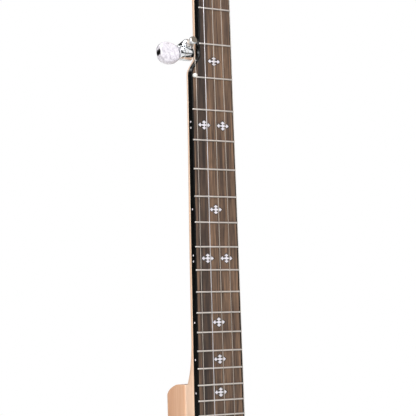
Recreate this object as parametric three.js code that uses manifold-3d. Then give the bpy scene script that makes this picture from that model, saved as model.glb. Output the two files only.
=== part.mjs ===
// Five-string open-back banjo, in millimetres, +Z up.
//
// The neck's centre line runs down -Z from the nut, the playing side faces -Y and the
// first string lies on the +X side. Y = 0 is the top of the fretboard, Z = 0 is the face
// of the nut, and X = 0 is the middle of the pot.

import * as THREE from "three";
import { mergeVertices } from "three/addons/utils/BufferGeometryUtils.js";
import Module from "manifold-3d";

const wasm = await Module();
wasm.setup();

// Driving dimensions -------------------------------------------------------------------

const SCALE_LENGTH = 667;
const BRIDGE_AT = SCALE_LENGTH + 2;
const BOARD = {
  thick: 6,
  end: 483.6,
  trebleAtNut: 21.6,
  bassAtNut: -10.5,
  trebleFlare: 0.00553,
  bassFlare: 0.00606,
  fifthEdge: -19.7,
  fifthFlare: 0.0105,
  shoulder: [147, 164],
  binding: 1.4,
};
const NECK_CENTRE = 4.9;
const NECK = { lip: 0.3, depth: 13, flareFrom: 394, flareLength: 37, flareDepth: 14.5, end: 495 };
const HEEL = { start: 431, halfWidth: 17.5, back: 61, corner: 5, shoulderDepth: 26, shoulderDrop: 17 };
const PEGHEAD = { tilt: 13, frontAtNut: 1.5, length: 165, overlay: 2, wood: 13, start: 0.8 };

// Half of the peghead's outline as [half width, distance above the nut].
const PEGHEAD_SIDE = [
  [16.2, 0], [17.5, 10], [22, 19], [30, 27], [34.5, 35], [36, 45], [35.2, 58], [33, 74],
  [31.8, 90], [32.5, 106], [35, 122], [36.5, 136], [35, 148], [29, 156], [21, 157.5], [13, 160],
  [6, 164], [0, PEGHEAD.length],
];

// The heel's side from the board back, as [distance in from the board's edge, y].
const HEEL_SIDE = [
  [0.1, 6], [0.1, 8], [0.6, 13], [1.6, 18], [3.2, 23], [3.9, 25.5], [3.1, 27], [2.9, 31], [3.7, 42],
];

const TRUSS = { x: 3.1, y: 9.6, radius: 2.8, from: 452, nut: 4.2 };
const NUT = { thick: 5, top: -1.9 };
const STRING_AT_NUT = -2.2;
const STRING_AT_BRIDGE = -6.6;
const FIFTH_NUT = { x: -16.8, at: 166, radius: 1.8, top: -2.4 };

const POT = { at: 630, headPlane: 6, rimOuter: 139.7, rimInner: 125.7, rimTop: 12.8, rimBack: 73 };
const HOOP = { inner: 141, outer: 146, front: 2.8, back: 14.6 };
const FLESH_HOOP = { inner: 140.2, outer: 145.2, front: 14.6, back: 19 };
const TONE_RING = { radius: 135.6, section: 3 };
const ROD = { y: 44, radius: 4.75, stud: 3.15, coupling: 7 };
const NECK_BOLT_Y = 27;
const BRACKET_COUNT = 16;
const RING_SIDES = 48;
const FIT_GAP = 0.3;

// Each string: place at the nut, place at the bridge, and the post that it winds on.
const STRINGS = [
  { name: "string_1", nut: 19.3, bridge: 21.6, side: 1, reach: 48 },
  { name: "string_2", nut: 10.8, bridge: 10.8, side: 1, reach: 112 },
  { name: "string_3", nut: 2.1, bridge: 0, side: -1, reach: 112 },
  { name: "string_4", nut: -6.7, bridge: -10.8, side: -1, reach: 48 },
];
const FIFTH_STRING_BRIDGE = -21.6;
const STRING_RADIUS = 0.25;
const TUNER = { postOut: 22, postRadius: 3, postTop: -16, gear: 3.9, wormOffset: 6.4, wormDepth: 20.6 };
const FIFTH_TUNER = { at: 145, side: -12.8, y: 11.6, tilt: 14, postOut: 5.7, postUp: 5.5, wormAt: -1.2 };
const FIFTH_BARREL = { radius: 6.3, length: 13.4, boss: 5.5 };

// A button's outline as [distance from its inner end, half height].
const BUTTON = { thick: 8.4, bore: 1.9 };
const BUTTON_SIDE = [
  [0, 5.4], [0.8, 6.7], [4, 8.7], [9, 9.9], [13, 9.6], [16, 8.4], [18, 6.6], [18.8, 4.8],
];

// Materials ----------------------------------------------------------------------------

function finish(color, roughness, metalness) {
  return new THREE.MeshStandardMaterial({ color, roughness, metalness });
}

const MAPLE = finish(0xecc9a6, 0.45, 0);
const ROSEWOOD = finish(0x6b5443, 0.55, 0);
const BLACK_BINDING = finish(0x141414, 0.25, 0);
const BONE = finish(0xf3efe2, 0.4, 0);
const PEARL = finish(0xe6e2e6, 0.25, 0);
const CHROME = finish(0xd9dadb, 0.12, 1);
const NICKEL = finish(0xc9c5bd, 0.3, 1);
const STEEL = finish(0xb9b7b2, 0.35, 1);
const DRUMHEAD = finish(0xf4f1e8, 0.7, 0);
const BRIDGE_WOOD = finish(0x8b6242, 0.5, 0);

// Solids -------------------------------------------------------------------------------

function radians(degrees) {
  return (degrees * Math.PI) / 180;
}

/** A manifold solid from a closed three.js geometry, with its faces turned outwards. */
function solid(geometry) {
  const bare = new THREE.BufferGeometry();
  bare.setAttribute("position", geometry.attributes.position);
  bare.setIndex(geometry.index);
  const merged = mergeVertices(bare, 1e-3);
  const mesh = new wasm.Mesh({
    numProp: 3,
    vertProperties: merged.attributes.position.array,
    triVerts: new Uint32Array(merged.index.array),
  });
  return new wasm.Manifold(mesh);
}

/** The three.js geometry of a manifold solid. */
function geometryOf(made) {
  const mesh = made.getMesh();
  const geometry = new THREE.BufferGeometry();
  geometry.setAttribute("position", new THREE.BufferAttribute(mesh.vertProperties, 3));
  geometry.setIndex(new THREE.BufferAttribute(mesh.triVerts, 1));
  geometry.computeVertexNormals();
  return geometry;
}

/** A named mesh from a manifold solid or a three.js geometry. */
function piece(name, shape, material) {
  const geometry = shape.isBufferGeometry ? shape : geometryOf(shape);
  const mesh = new THREE.Mesh(geometry, material);
  mesh.name = name;
  return mesh;
}

/** A closed outline in X and Z, thickened along Y from front to back. */
function plate(outline, front, back) {
  const shape = new THREE.Shape(outline.map(([x, z]) => new THREE.Vector2(x, z)));
  const geometry = new THREE.ExtrudeGeometry(shape, { depth: back - front, bevelEnabled: false });
  return geometry.rotateX(Math.PI / 2).translate(0, back, 0);
}

/** A closed outline in Y and Z, thickened along X from one side to the other. */
function sidePlate(outline, low, high) {
  const shape = new THREE.Shape(outline.map(([y, z]) => new THREE.Vector2(y, z)));
  const geometry = new THREE.ExtrudeGeometry(shape, { depth: high - low, bevelEnabled: false });
  return geometry.rotateZ(Math.PI / 2).rotateY(Math.PI / 2).translate(low, 0, 0);
}

/** A solid turned about the Y axis from a profile of [radius, y] points, closed on itself. */
function turned(profile, sides) {
  const points = profile.map(([radius, y]) => new THREE.Vector2(radius, y));
  if (THREE.ShapeUtils.isClockWise(points)) points.reverse();
  return new THREE.LatheGeometry([...points, points[0]], sides);
}

/** A round bar along Y, used as a piece or to drill a hole. */
function bar(radius, from, to, sides = 24) {
  const length = to - from;
  return new THREE.CylinderGeometry(radius, radius, length, sides).translate(0, from + length / 2, 0);
}

/** A box between two corners. */
function block(low, high) {
  const size = high.map((value, axis) => value - low[axis]);
  const middle = high.map((value, axis) => (value + low[axis]) / 2);
  return new THREE.BoxGeometry(...size).translate(...middle);
}

/** A skin through a list of sections with equal numbers of points, closed at both ends. */
function loft(sections) {
  const count = sections[0].length;
  const positions = sections.flat(2);
  const index = [];
  for (let row = 0; row + 1 < sections.length; row += 1) {
    for (let i = 0; i < count; i += 1) {
      const next = (i + 1) % count;
      const [a, b] = [row * count + i, row * count + next];
      const [c, d] = [a + count, b + count];
      index.push(a, b, d, a, d, c);
    }
  }
  const last = (sections.length - 1) * count;
  for (let i = 1; i + 1 < count; i += 1) {
    index.push(0, i + 1, i);
    index.push(last, last + i, last + i + 1);
  }
  const geometry = new THREE.BufferGeometry();
  geometry.setAttribute("position", new THREE.Float32BufferAttribute(positions, 3));
  geometry.setIndex(index);
  return geometry;
}

/** A wire through a list of points that go steadily down -Z. */
function wire(points, radius, sides) {
  const ring = ([x, y, z]) =>
    Array.from({ length: sides }, (_, i) => {
      const turn = (-2 * Math.PI * i) / sides;
      return [x + radius * Math.cos(turn), y + radius * Math.sin(turn), z];
    });
  return loft(points.map(ring));
}

/** A round section carried along a curve. */
function alongPath(path, radius, sides, steps) {
  const section = new THREE.Shape();
  for (let i = 0; i < sides; i += 1) {
    const turn = (2 * Math.PI * i) / sides;
    const [x, y] = [radius * Math.cos(turn), radius * Math.sin(turn)];
    if (i === 0) section.moveTo(x, y);
    else section.lineTo(x, y);
  }
  section.closePath();
  return new THREE.ExtrudeGeometry(section, { steps, extrudePath: path, bevelEnabled: false });
}

// Neck and fretboard -------------------------------------------------------------------

function smoothStep(value, low, high) {
  const t = Math.min(1, Math.max(0, (value - low) / (high - low)));
  return t * t * (3 - 2 * t);
}

/** The board's first-string edge at a distance from the nut. */
function trebleEdge(distance) {
  return BOARD.trebleAtNut + BOARD.trebleFlare * distance;
}

/** The board's other edge, which steps out at the shoulder to carry the fifth string. */
function bassEdge(distance) {
  const fourStrings = BOARD.bassAtNut - BOARD.bassFlare * distance;
  const fiveStrings = BOARD.fifthEdge - BOARD.fifthFlare * (distance - BOARD.shoulder[1]);
  const share = smoothStep(distance, ...BOARD.shoulder);
  return fourStrings + (fiveStrings - fourStrings) * share;
}

/** Distances from the nut where the bass edge needs a point. */
function bassStations(end) {
  const stations = [0, BOARD.shoulder[0]];
  const steps = 8;
  for (let i = 1; i <= steps; i += 1) {
    stations.push(BOARD.shoulder[0] + ((BOARD.shoulder[1] - BOARD.shoulder[0]) * i) / steps);
  }
  return [...stations, end];
}

/** The board's outline, set in from its edges on the two sides and at the pot end. */
function boardOutline(inset) {
  const end = BOARD.end - inset;
  const bass = bassStations(end).map((at) => [bassEdge(at) + inset, -at]);
  return [[trebleEdge(0) - inset, 0], ...bass, [trebleEdge(end) - inset, -end]];
}

function fretboard() {
  return plate(boardOutline(BOARD.binding), 0, BOARD.thick);
}

/** The binding goes round the board on both sides and across its pot end. */
function binding() {
  const outer = solid(plate(boardOutline(0), 0, BOARD.thick));
  const core = boardOutline(BOARD.binding).map(([x, z]) => [x, z === 0 ? 5 : z]);
  return outer.subtract(solid(plate(core, -5, BOARD.thick + 5)));
}

/** One cross-section of the neck: flat under the board, rounded behind. */
function neckSection(distance, top, depth, fullness, bassFullness) {
  const [low, high] = [bassEdge(Math.max(0, distance)), trebleEdge(Math.max(0, distance))];
  const [middle, half] = [(low + high) / 2, (high - low) / 2];
  const sides = 18;
  const points = [[low, top, -distance]];
  for (let i = 0; i <= sides; i += 1) {
    const turn = (Math.PI * i) / sides;
    const power = turn < Math.PI / 2 ? bassFullness : fullness;
    const across = Math.sign(Math.cos(turn)) * Math.abs(Math.cos(turn)) ** power;
    points.push([middle - half * across, top + NECK.lip + depth * Math.sin(turn), -distance]);
  }
  points.push([high, top, -distance]);
  return points;
}

/** How deep the shaft is behind its lip: nearly even, then flared quickly into the heel. */
function shaftDepth(distance) {
  const flare = Math.max(0, distance - NECK.flareFrom) / NECK.flareLength;
  const taper = smoothStep(distance, ...BOARD.shoulder);
  return NECK.depth + taper + NECK.flareDepth * flare ** 2;
}

/** The shaft, from behind the nut to the heel. */
function neckShaft() {
  const t = BOARD.thick;
  const sections = [
    neckSection(-26, t + 4.5, 8.6, 1, 1),
    neckSection(-14, t + 1.2, 11.4, 1, 1),
    neckSection(-5, t, NECK.depth - 0.6, 1, 1),
    neckSection(30, t, NECK.depth, 1, 1),
    neckSection(110, t, NECK.depth, 1, 1),
  ];
  for (const distance of bassStations(180).slice(1)) {
    const wing = smoothStep(distance, ...BOARD.shoulder);
    sections.push(neckSection(distance, t, shaftDepth(distance), 1, 1 + 0.6 * wing));
  }
  for (const distance of [220, 260, 300, 340, 380, 394, 404, 412, 420, 426, HEEL.start + 1]) {
    const wing = 1 - smoothStep(distance, 180, 320);
    sections.push(neckSection(distance, t, shaftDepth(distance), 1, 1 + 0.6 * wing));
  }
  return loft(sections);
}

/** The heel's section in X and Y: a shallow groove parts the shaft's side from the block. */
function heelSection() {
  const [low, high] = [bassEdge(HEEL.start), trebleEdge(HEEL.start)];
  const { back, halfWidth, corner } = HEEL;
  const backCorner = [
    [halfWidth, back - corner],
    [halfWidth - 0.3 * corner, back - 0.3 * corner],
    [halfWidth - corner, back],
  ];
  return [
    ...HEEL_SIDE.map(([inward, y]) => [low + inward, y]),
    ...backCorner.map(([x, y]) => [-x, y]),
    ...backCorner.reverse(),
    ...HEEL_SIDE.map(([inward, y]) => [high - inward, y]).reverse(),
  ];
}

/** The heel: the section above carried to the pot, with its shoulder rounded off behind. */
function heel() {
  const shape = new THREE.Shape(heelSection().map(([x, y]) => new THREE.Vector2(x, y)));
  const length = NECK.end - HEEL.start;
  const carried = new THREE.ExtrudeGeometry(shape, { depth: length, bevelEnabled: false });
  carried.translate(0, 0, -NECK.end);
  const rounding = [[0, -HEEL.start]];
  for (const turn of [0, 18, 36, 54, 72, 90]) {
    const [sine, cosine] = [Math.sin(radians(turn)), Math.cos(radians(turn))];
    rounding.push([
      HEEL.back - HEEL.shoulderDepth * (1 - sine),
      -HEEL.start - HEEL.shoulderDrop * (1 - cosine),
    ]);
  }
  rounding.push([HEEL.back, -NECK.end - 5], [0, -NECK.end - 5]);
  return solid(carried).intersect(solid(sidePlate(rounding, -40, 40)));
}

function pegheadOutline(start) {
  const right = PEGHEAD_SIDE.map(([half, at]) => [half, Math.max(at, start)]);
  const left = right.slice(0, -1).reverse().map(([half, at]) => [-half, at]);
  return [...right, ...left];
}

/** Turns a piece from the peghead's own frame, where its face is Y = 0, into the neck's. */
function pegheadMatrix() {
  const turn = new THREE.Matrix4().makeRotationX(radians(-PEGHEAD.tilt));
  return turn.setPosition(NECK_CENTRE, PEGHEAD.frontAtNut, NUT.thick);
}

function pegheadWood() {
  const [front, back] = [PEGHEAD.overlay + 0.1, PEGHEAD.overlay + PEGHEAD.wood];
  return plate(pegheadOutline(PEGHEAD.start), front, back);
}

/** The four post holes, in the peghead's own frame. */
function postHoles() {
  const holes = STRINGS.map(({ side, reach }) =>
    solid(bar(4.9, -5, 30, 20).translate(side * TUNER.postOut, 0, reach)),
  );
  return wasm.Manifold.union(holes);
}

/** The pocket at the peghead end that opens on the truss rod's adjusting nut. */
function trussPocket() {
  const x = TRUSS.x - NECK_CENTRE;
  return solid(block([x - 5.2, -5, 2], [x + 5.2, 13.2, 24]));
}

function neck() {
  const peghead = solid(pegheadWood()).subtract(postHoles());
  const channel = block([TRUSS.x - 3.2, 0, -TRUSS.from - 3], [TRUSS.x + 3.2, 12.7, 14]);
  const joined = solid(neckShaft())
    .add(heel())
    .add(peghead.transform(pegheadMatrix().elements))
    .subtract(solid(block([-40, -20, -500], [40, BOARD.thick, NUT.thick])))
    .subtract(solid(channel))
    .subtract(trussPocket().transform(pegheadMatrix().elements));
  const pot = (radius, front, back) =>
    solid(bar(radius, front, back, 96).translate(0, 0, -POT.at));
  const shank = bar(3.1, -20, -1.5, 20).rotateZ(-Math.PI / 2);
  const shankAt = shank.translate(0, FIFTH_TUNER.y, -FIFTH_TUNER.at);
  const bolt = (y) => solid(bar(3.4, 0, 60, 20).rotateX(Math.PI / 2).translate(0, y, -520));
  return joined
    .subtract(pot(POT.rimOuter + FIT_GAP, FLESH_HOOP.back, 90))
    .subtract(pot(HOOP.outer + FIT_GAP, -20, FLESH_HOOP.back + FIT_GAP))
    .subtract(bolt(ROD.y))
    .subtract(bolt(NECK_BOLT_Y))
    .subtract(solid(shankAt));
}

/** The nut, rounded over towards the peghead. */
function nut() {
  const profile = [[BOARD.thick, 0], [NUT.top, 0], [NUT.top, 2], [NUT.top + 1.6, NUT.thick - 0.1]];
  profile.push([BOARD.thick, NUT.thick - 0.1]);
  return sidePlate(profile, BOARD.bassAtNut, BOARD.trebleAtNut);
}

/** The fifth string's own nut, a round pip let into the board. */
function fifthNut() {
  const { radius, top } = FIFTH_NUT;
  const profile = [[0, top + 0.3], [radius - 0.7, top + 0.3], [radius, top + 1.1]];
  profile.push([radius, -FIT_GAP / 10], [0, -FIT_GAP / 10]);
  return turned(profile, 16).translate(FIFTH_NUT.x, 0, -FIFTH_NUT.at);
}

function trussRod() {
  const rod = solid(bar(TRUSS.radius, -TRUSS.from, 14, 12));
  const adjuster = solid(bar(TRUSS.nut, 6.4, 16, 6));
  return geometryOf(rod.add(adjuster)).rotateX(Math.PI / 2).translate(TRUSS.x, TRUSS.y, 0);
}

/** The cover is a small tapered plate over the pocket, in the peghead's own frame. */
function trussCover() {
  const outline = [[-8, 1.5], [8, 1.5], [8, 18], [5, 28], [0, 32], [-5, 28], [-8, 18]];
  const x = TRUSS.x - NECK_CENTRE;
  return plate(outline, -1.6, -0.1).translate(x, 0, 0);
}

function pegheadOverlay() {
  const face = solid(plate(pegheadOutline(PEGHEAD.start), 0, PEGHEAD.overlay));
  return face.subtract(postHoles()).subtract(trussPocket());
}

// Tuners -------------------------------------------------------------------------------

/** A string post about Y with its gear wheel at the back. */
function post(top, waist, gearFrom, gearTo, gearRadius) {
  return turned(
    [
      [0, top], [waist + 0.6, top], [waist + 0.6, top + 2], [waist - 0.5, top + 3.6],
      [waist - 0.5, top + 8], [waist, top + 9.6], [waist, gearFrom], [gearRadius, gearFrom],
      [gearRadius, gearTo], [0, gearTo],
    ],
    14,
  );
}

/** The worm shaft along X, from its inner end to where the button is screwed on. */
function worm(inner, outer) {
  const profile = [[0, inner], [2.3, inner], [2.3, inner + 9], [1.7, inner + 10], [1.7, outer]];
  return turned([...profile, [0, outer]], 12).rotateZ(-Math.PI / 2);
}

/** The collar on a peghead tuner's worm shaft, outside the housing. */
function wormCollar(from) {
  return bar(3.2, from, from + 2, 12).rotateZ(-Math.PI / 2);
}

/** A flat oval button along X, bored for the end of its shaft. */
function button(inner, boreTo) {
  const top = BUTTON_SIDE.map(([x, z]) => [inner + x, z]);
  const bottom = BUTTON_SIDE.map(([x, z]) => [inner + x, -z]).reverse();
  const body = solid(plate([...top, ...bottom], -BUTTON.thick / 2, BUTTON.thick / 2));
  const hole = bar(BUTTON.bore, inner - 1, boreTo, 10).rotateZ(-Math.PI / 2);
  return body.subtract(solid(hole));
}

/** One geared tuner of the peghead, in a group whose origin is on the post's axis. */
function pegheadTuner(number, side) {
  const group = new THREE.Group();
  const back = PEGHEAD.overlay + PEGHEAD.wood + 0.1;
  const offset = TUNER.wormOffset;
  const shell = solid(block([-7.5, back, -7], [13, back + 11.6, offset + 6]));
  const postBore = solid(bar(4.6, back - 1, back + 9.6, 20));
  const wormBore = bar(2.5, -5.5, 20, 16).rotateZ(-Math.PI / 2);
  wormBore.translate(0, TUNER.wormDepth, offset);
  const housing = shell.subtract(postBore).subtract(solid(wormBore));
  const shaft = geometryOf(solid(worm(-5, 30)).add(solid(wormCollar(14))));
  shaft.translate(0, TUNER.wormDepth, offset);
  const knob = geometryOf(button(17.5, 31)).translate(0, TUNER.wormDepth, offset);
  const stringPost = post(TUNER.postTop, TUNER.postRadius, back + 3, back + 9, TUNER.gear);
  const name = `tuner_${number}`;
  group.add(piece(`${name}_housing`, housing, CHROME));
  group.add(piece(`${name}_post`, stringPost, CHROME));
  group.add(piece(`${name}_worm`, shaft, CHROME));
  group.add(piece(`${name}_button`, knob, PEARL));
  if (side < 0) group.rotation.y = Math.PI;
  return group;
}

/** The fifth string's tuner: a barrel set in the side of the neck, with its post across it. */
function fifthTuner() {
  const group = new THREE.Group();
  const offset = FIFTH_TUNER.postUp;
  const wormAt = FIFTH_TUNER.wormAt;
  const barrel = solid(bar(FIFTH_BARREL.radius, 0.2, FIFTH_BARREL.length, 20).rotateZ(Math.PI / 2));
  const shank = solid(bar(2.9, -10, 1, 16).rotateZ(Math.PI / 2));
  const boss = solid(bar(FIFTH_BARREL.boss, -7, 6, 20).translate(-FIFTH_TUNER.postOut, 0, offset));
  const postBore = solid(bar(4.5, -8, 3.6, 20).translate(-FIFTH_TUNER.postOut, 0, offset));
  const wormBore = solid(bar(2.5, 2, 20, 16).rotateZ(Math.PI / 2).translate(0, 0, wormAt));
  const housing = barrel.add(boss).add(shank).subtract(postBore).subtract(wormBore);
  const stringPost = post(-17, 2.9, -2.9, 2.9, 4.2);
  const shaft = worm(2.6, 27).rotateZ(Math.PI).translate(0, 0, wormAt);
  const knob = geometryOf(button(FIFTH_BARREL.length + 0.5, 28)).rotateZ(Math.PI).translate(0, 0, wormAt);
  group.add(piece("tuner_5_housing", housing, CHROME));
  group.add(piece("tuner_5_post", stringPost.translate(-FIFTH_TUNER.postOut, 0, offset), CHROME));
  group.add(piece("tuner_5_worm", shaft, CHROME));
  group.add(piece("tuner_5_button", knob, PEARL));
  group.position.set(FIFTH_TUNER.side, FIFTH_TUNER.y, -FIFTH_TUNER.at);
  group.rotation.x = radians(-FIFTH_TUNER.tilt);
  return group;
}

// Pot ----------------------------------------------------------------------------------

function rectangleRing(inner, outer, front, back) {
  return turned([[inner, front], [inner, back], [outer, back], [outer, front]], RING_SIDES);
}

/** The wooden rim, drilled for the neck's two bolts and for the rod's end at the tail. */
function rim() {
  const wall = solid(rectangleRing(POT.rimInner, POT.rimOuter, POT.rimTop, POT.rimBack));
  const hole = (y, from, to) => solid(bar(3.5, from, to, 16).rotateX(Math.PI / 2).translate(0, y, 0));
  return wall
    .subtract(hole(ROD.y, -160, 160))
    .subtract(hole(NECK_BOLT_Y, 100, 160));
}

function toneRing() {
  const profile = [];
  for (let i = 0; i < 8; i += 1) {
    const turn = radians(45 * i + 22.5);
    const radius = TONE_RING.radius + TONE_RING.section * Math.cos(turn);
    profile.push([radius, POT.headPlane + 0.7 + TONE_RING.section - TONE_RING.section * Math.sin(turn)]);
  }
  return turned(profile, RING_SIDES);
}

function head() {
  return bar(POT.rimOuter + 0.3, POT.headPlane, POT.headPlane + 0.6, RING_SIDES);
}

/** The rod across the pot, with a coupling at the neck and a stud through the rim at the tail. */
function coordinatorRod() {
  const neckEnd = POT.rimInner - 1;
  const profile = [
    [0, -149], [ROD.stud, -149], [ROD.stud, -POT.rimInner + 0.6], [ROD.radius, -POT.rimInner + 0.6],
    [ROD.radius, neckEnd - 20], [ROD.coupling, neckEnd - 18], [ROD.coupling, neckEnd],
    [ROD.stud, neckEnd], [ROD.stud, 166], [0, 166],
  ];
  return turned(profile, 16).rotateX(Math.PI / 2).translate(0, ROD.y, -POT.at);
}

/** The upper bolt that draws the heel to the rim, with its nut inside the pot. */
function neckBolt() {
  const nutFrom = POT.rimInner - 7;
  const stud = solid(bar(ROD.stud, nutFrom - 4, 166, 16));
  const hexagon = solid(bar(6.4, nutFrom, POT.rimInner - 1, 6));
  return geometryOf(stud.add(hexagon)).rotateX(Math.PI / 2).translate(0, NECK_BOLT_Y, -POT.at);
}

/** The nut on the rod's end, outside the tailpiece's hanger. */
function rodNut() {
  const hexagon = solid(bar(6.4, -149, -142.9, 6));
  const bored = hexagon.subtract(solid(bar(ROD.stud + 0.1, -160, -130, 16)));
  return geometryOf(bored).rotateX(Math.PI / 2).translate(0, ROD.y, -POT.at);
}

/** The strap that hangs the tailpiece from the rod's end, stepped out round the hoop. */
function tailpieceHanger() {
  const outline = [
    [1.4, -149.6], [1.4, -147.2], [22, -147.2], [32, -140.2], [54, -140.2], [54, -142.6],
    [33, -142.6], [23, -149.6],
  ];
  const strap = solid(sidePlate(outline, -8, 8));
  const hole = bar(3.5, -160, -130, 16).rotateX(Math.PI / 2).translate(0, ROD.y, 0);
  return geometryOf(strap.subtract(solid(hole))).translate(0, 0, -POT.at);
}

/** The tailpiece: a plate over the hoop with a folded front edge that holds the strings' ends. */
function tailpiece() {
  const outline = [
    [1.1, -150], [-1.1, -150], [-1.1, -104], [0.6, -97], [4, -97], [4, -99.4], [2, -99.4],
    [1.1, -105],
  ];
  return sidePlate(outline, -22, 22).translate(0, 0, -POT.at);
}

/** The bridge: three feet, two arches, and a narrow top that the strings cross. */
function bridge() {
  const [foot, top] = [POT.headPlane - 0.05, STRING_AT_BRIDGE + STRING_RADIUS + 0.1];
  const arch = (from, to) => {
    const points = [];
    for (let i = 0; i <= 6; i += 1) {
      const turn = (Math.PI * i) / 6;
      const middle = (from + to) / 2;
      points.push([middle - ((to - from) / 2) * Math.cos(turn), foot - 6.4 * Math.sin(turn) ** 0.7]);
    }
    return points;
  };
  const outline = [
    [-37, foot], ...arch(-29, -5), ...arch(5, 29), [37, foot], [37, foot - 2.5],
    [27, top + 1], [25, top], [-25, top], [-27, top + 1], [-37, foot - 2.5],
  ];
  const shape = new THREE.Shape(outline.map(([x, y]) => new THREE.Vector2(x, y)));
  const slab = new THREE.ExtrudeGeometry(shape, { depth: 7, bevelEnabled: false });
  const wedge = sidePlate([[foot + 1, -3.5], [foot + 1, 3.5], [top - 0.5, 1.2], [top - 0.5, -1.2]], -50, 50);
  const cut = solid(slab.translate(0, 0, -3.5)).intersect(solid(wedge));
  return geometryOf(cut).translate(0, 0, -BRIDGE_AT);
}

/** One bracket of the pot: hook, shoe and nut, made at the top of the ring and turned to its place. */
function bracket() {
  const [reach, wireRadius, bend] = [149.8, 2.1, 3.2];
  const top = HOOP.front - wireRadius - FIT_GAP;
  const path = new THREE.CurvePath();
  const at = (radius, y) => new THREE.Vector3(0, y, radius);
  path.add(new THREE.LineCurve3(at(reach, 60), at(reach, top + bend)));
  path.add(new THREE.QuadraticBezierCurve3(at(reach, top + bend), at(reach, top), at(reach - bend, top)));
  path.add(new THREE.LineCurve3(at(reach - bend, top), at(142.4, top)));
  const hook = solid(alongPath(path, wireRadius, 8, 12));
  const shoeProfile = [[36, 140], [36, 149], [38, 154], [50, 154], [50, 149], [52, 140]];
  const shoe = solid(sidePlate(shoeProfile, -6, 6));
  const hexagon = solid(bar(4.6, 49.5, 57, 6).translate(0, 0, reach));
  return hook.add(shoe).add(hexagon);
}

function brackets() {
  const made = geometryOf(bracket());
  const step = 360 / BRACKET_COUNT;
  return Array.from({ length: BRACKET_COUNT }, (_, index) => {
    const mesh = piece(`bracket_${String(index + 1).padStart(2, "0")}`, made, NICKEL);
    mesh.position.z = -POT.at;
    mesh.rotation.y = radians(step * (index + 0.5));
    return mesh;
  });
}

// Strings ------------------------------------------------------------------------------

/** Where a string leaves its post, in the neck's frame. */
function postContact({ side, reach }) {
  const inner = TUNER.postOut - TUNER.postRadius - 0.3;
  const start = new THREE.Vector3(side * inner, TUNER.postTop + 6, reach);
  return start.applyMatrix4(pegheadMatrix());
}

/** The run of a string from the bridge down to its end in the tailpiece. */
function tailRun(x) {
  const end = -POT.at - 96.4;
  const half = 1.2;
  return [
    [x, STRING_AT_BRIDGE, -BRIDGE_AT + half],
    [x, STRING_AT_BRIDGE, -BRIDGE_AT - half],
    [x * 0.92, 2.2, end],
  ];
}

function longString(place) {
  const start = postContact(place);
  const overNut = [place.nut, STRING_AT_NUT, -0.2];
  const points = [start.toArray(), [place.nut, STRING_AT_NUT, 2], overNut, ...tailRun(place.bridge)];
  return piece(place.name, wire(points, STRING_RADIUS, 6), STEEL);
}

function fifthString() {
  const turn = new THREE.Matrix4().makeRotationX(radians(-FIFTH_TUNER.tilt));
  turn.setPosition(FIFTH_TUNER.side, FIFTH_TUNER.y, -FIFTH_TUNER.at);
  const offPost = [2.4 - FIFTH_TUNER.postOut + STRING_RADIUS + 0.1, -11.5, FIFTH_TUNER.postUp];
  const start = new THREE.Vector3(...offPost).applyMatrix4(turn);
  const overPip = [FIFTH_NUT.x, FIFTH_NUT.top - FIT_GAP, -FIFTH_NUT.at];
  const points = [start.toArray(), overPip, ...tailRun(FIFTH_STRING_BRIDGE)];
  return piece("string_5", wire(points, STRING_RADIUS, 6), STEEL);
}

// The whole instrument -----------------------------------------------------------------

const banjo = new THREE.Group();

banjo.add(
  piece("neck", neck(), MAPLE),
  piece("fretboard", fretboard(), ROSEWOOD),
  piece("fretboard_binding", binding(), BLACK_BINDING),
  piece("nut", nut(), BONE),
  piece("fifth_string_nut", fifthNut(), BONE),
  piece("truss_rod", trussRod(), STEEL),
);

const pegheadFrame = new THREE.Group();
pegheadFrame.applyMatrix4(pegheadMatrix());
pegheadFrame.add(
  piece("peghead_overlay", pegheadOverlay(), ROSEWOOD),
  piece("truss_rod_cover", trussCover(), BLACK_BINDING),
);
STRINGS.forEach(({ side, reach }, index) => {
  const tuner = pegheadTuner(index + 1, side);
  tuner.position.set(side * TUNER.postOut, 0, reach);
  pegheadFrame.add(tuner);
});
banjo.add(pegheadFrame, fifthTuner());

banjo.add(
  piece("rim", rim(), MAPLE),
  piece("tone_ring", toneRing(), NICKEL),
  piece("head", head(), DRUMHEAD),
  piece("flesh_hoop", rectangleRing(...Object.values(FLESH_HOOP)), NICKEL),
  piece("tension_hoop", rectangleRing(...Object.values(HOOP)), NICKEL),
  piece("coordinator_rod", coordinatorRod(), STEEL),
  piece("neck_bolt", neckBolt(), STEEL),
  piece("rod_nut", rodNut(), NICKEL),
  piece("tailpiece_hanger", tailpieceHanger(), NICKEL),
  piece("tailpiece", tailpiece(), NICKEL),
  piece("bridge", bridge(), BRIDGE_WOOD),
);
for (const node of ["rim", "tone_ring", "head", "flesh_hoop", "tension_hoop"]) {
  banjo.getObjectByName(node).position.z = -POT.at;
}
banjo.add(...brackets(), ...STRINGS.map(longString), fifthString());

export default banjo;
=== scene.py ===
"""A five-string open-back banjo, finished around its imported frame.

Every length in the classes is in millimetres, in the frame's own axes: the neck runs down -Z
from the nut, -Y is the playing side and +X is the first string's side. X = 0 is the middle
of the pot, Y = 0 the top of the fretboard and Z = 0 the face of the nut.
"""

from __future__ import annotations

import logging
import math
from collections.abc import Sequence
from dataclasses import dataclass
from enum import Enum

import bmesh
import bpy
from mathutils import Matrix, Vector


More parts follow.
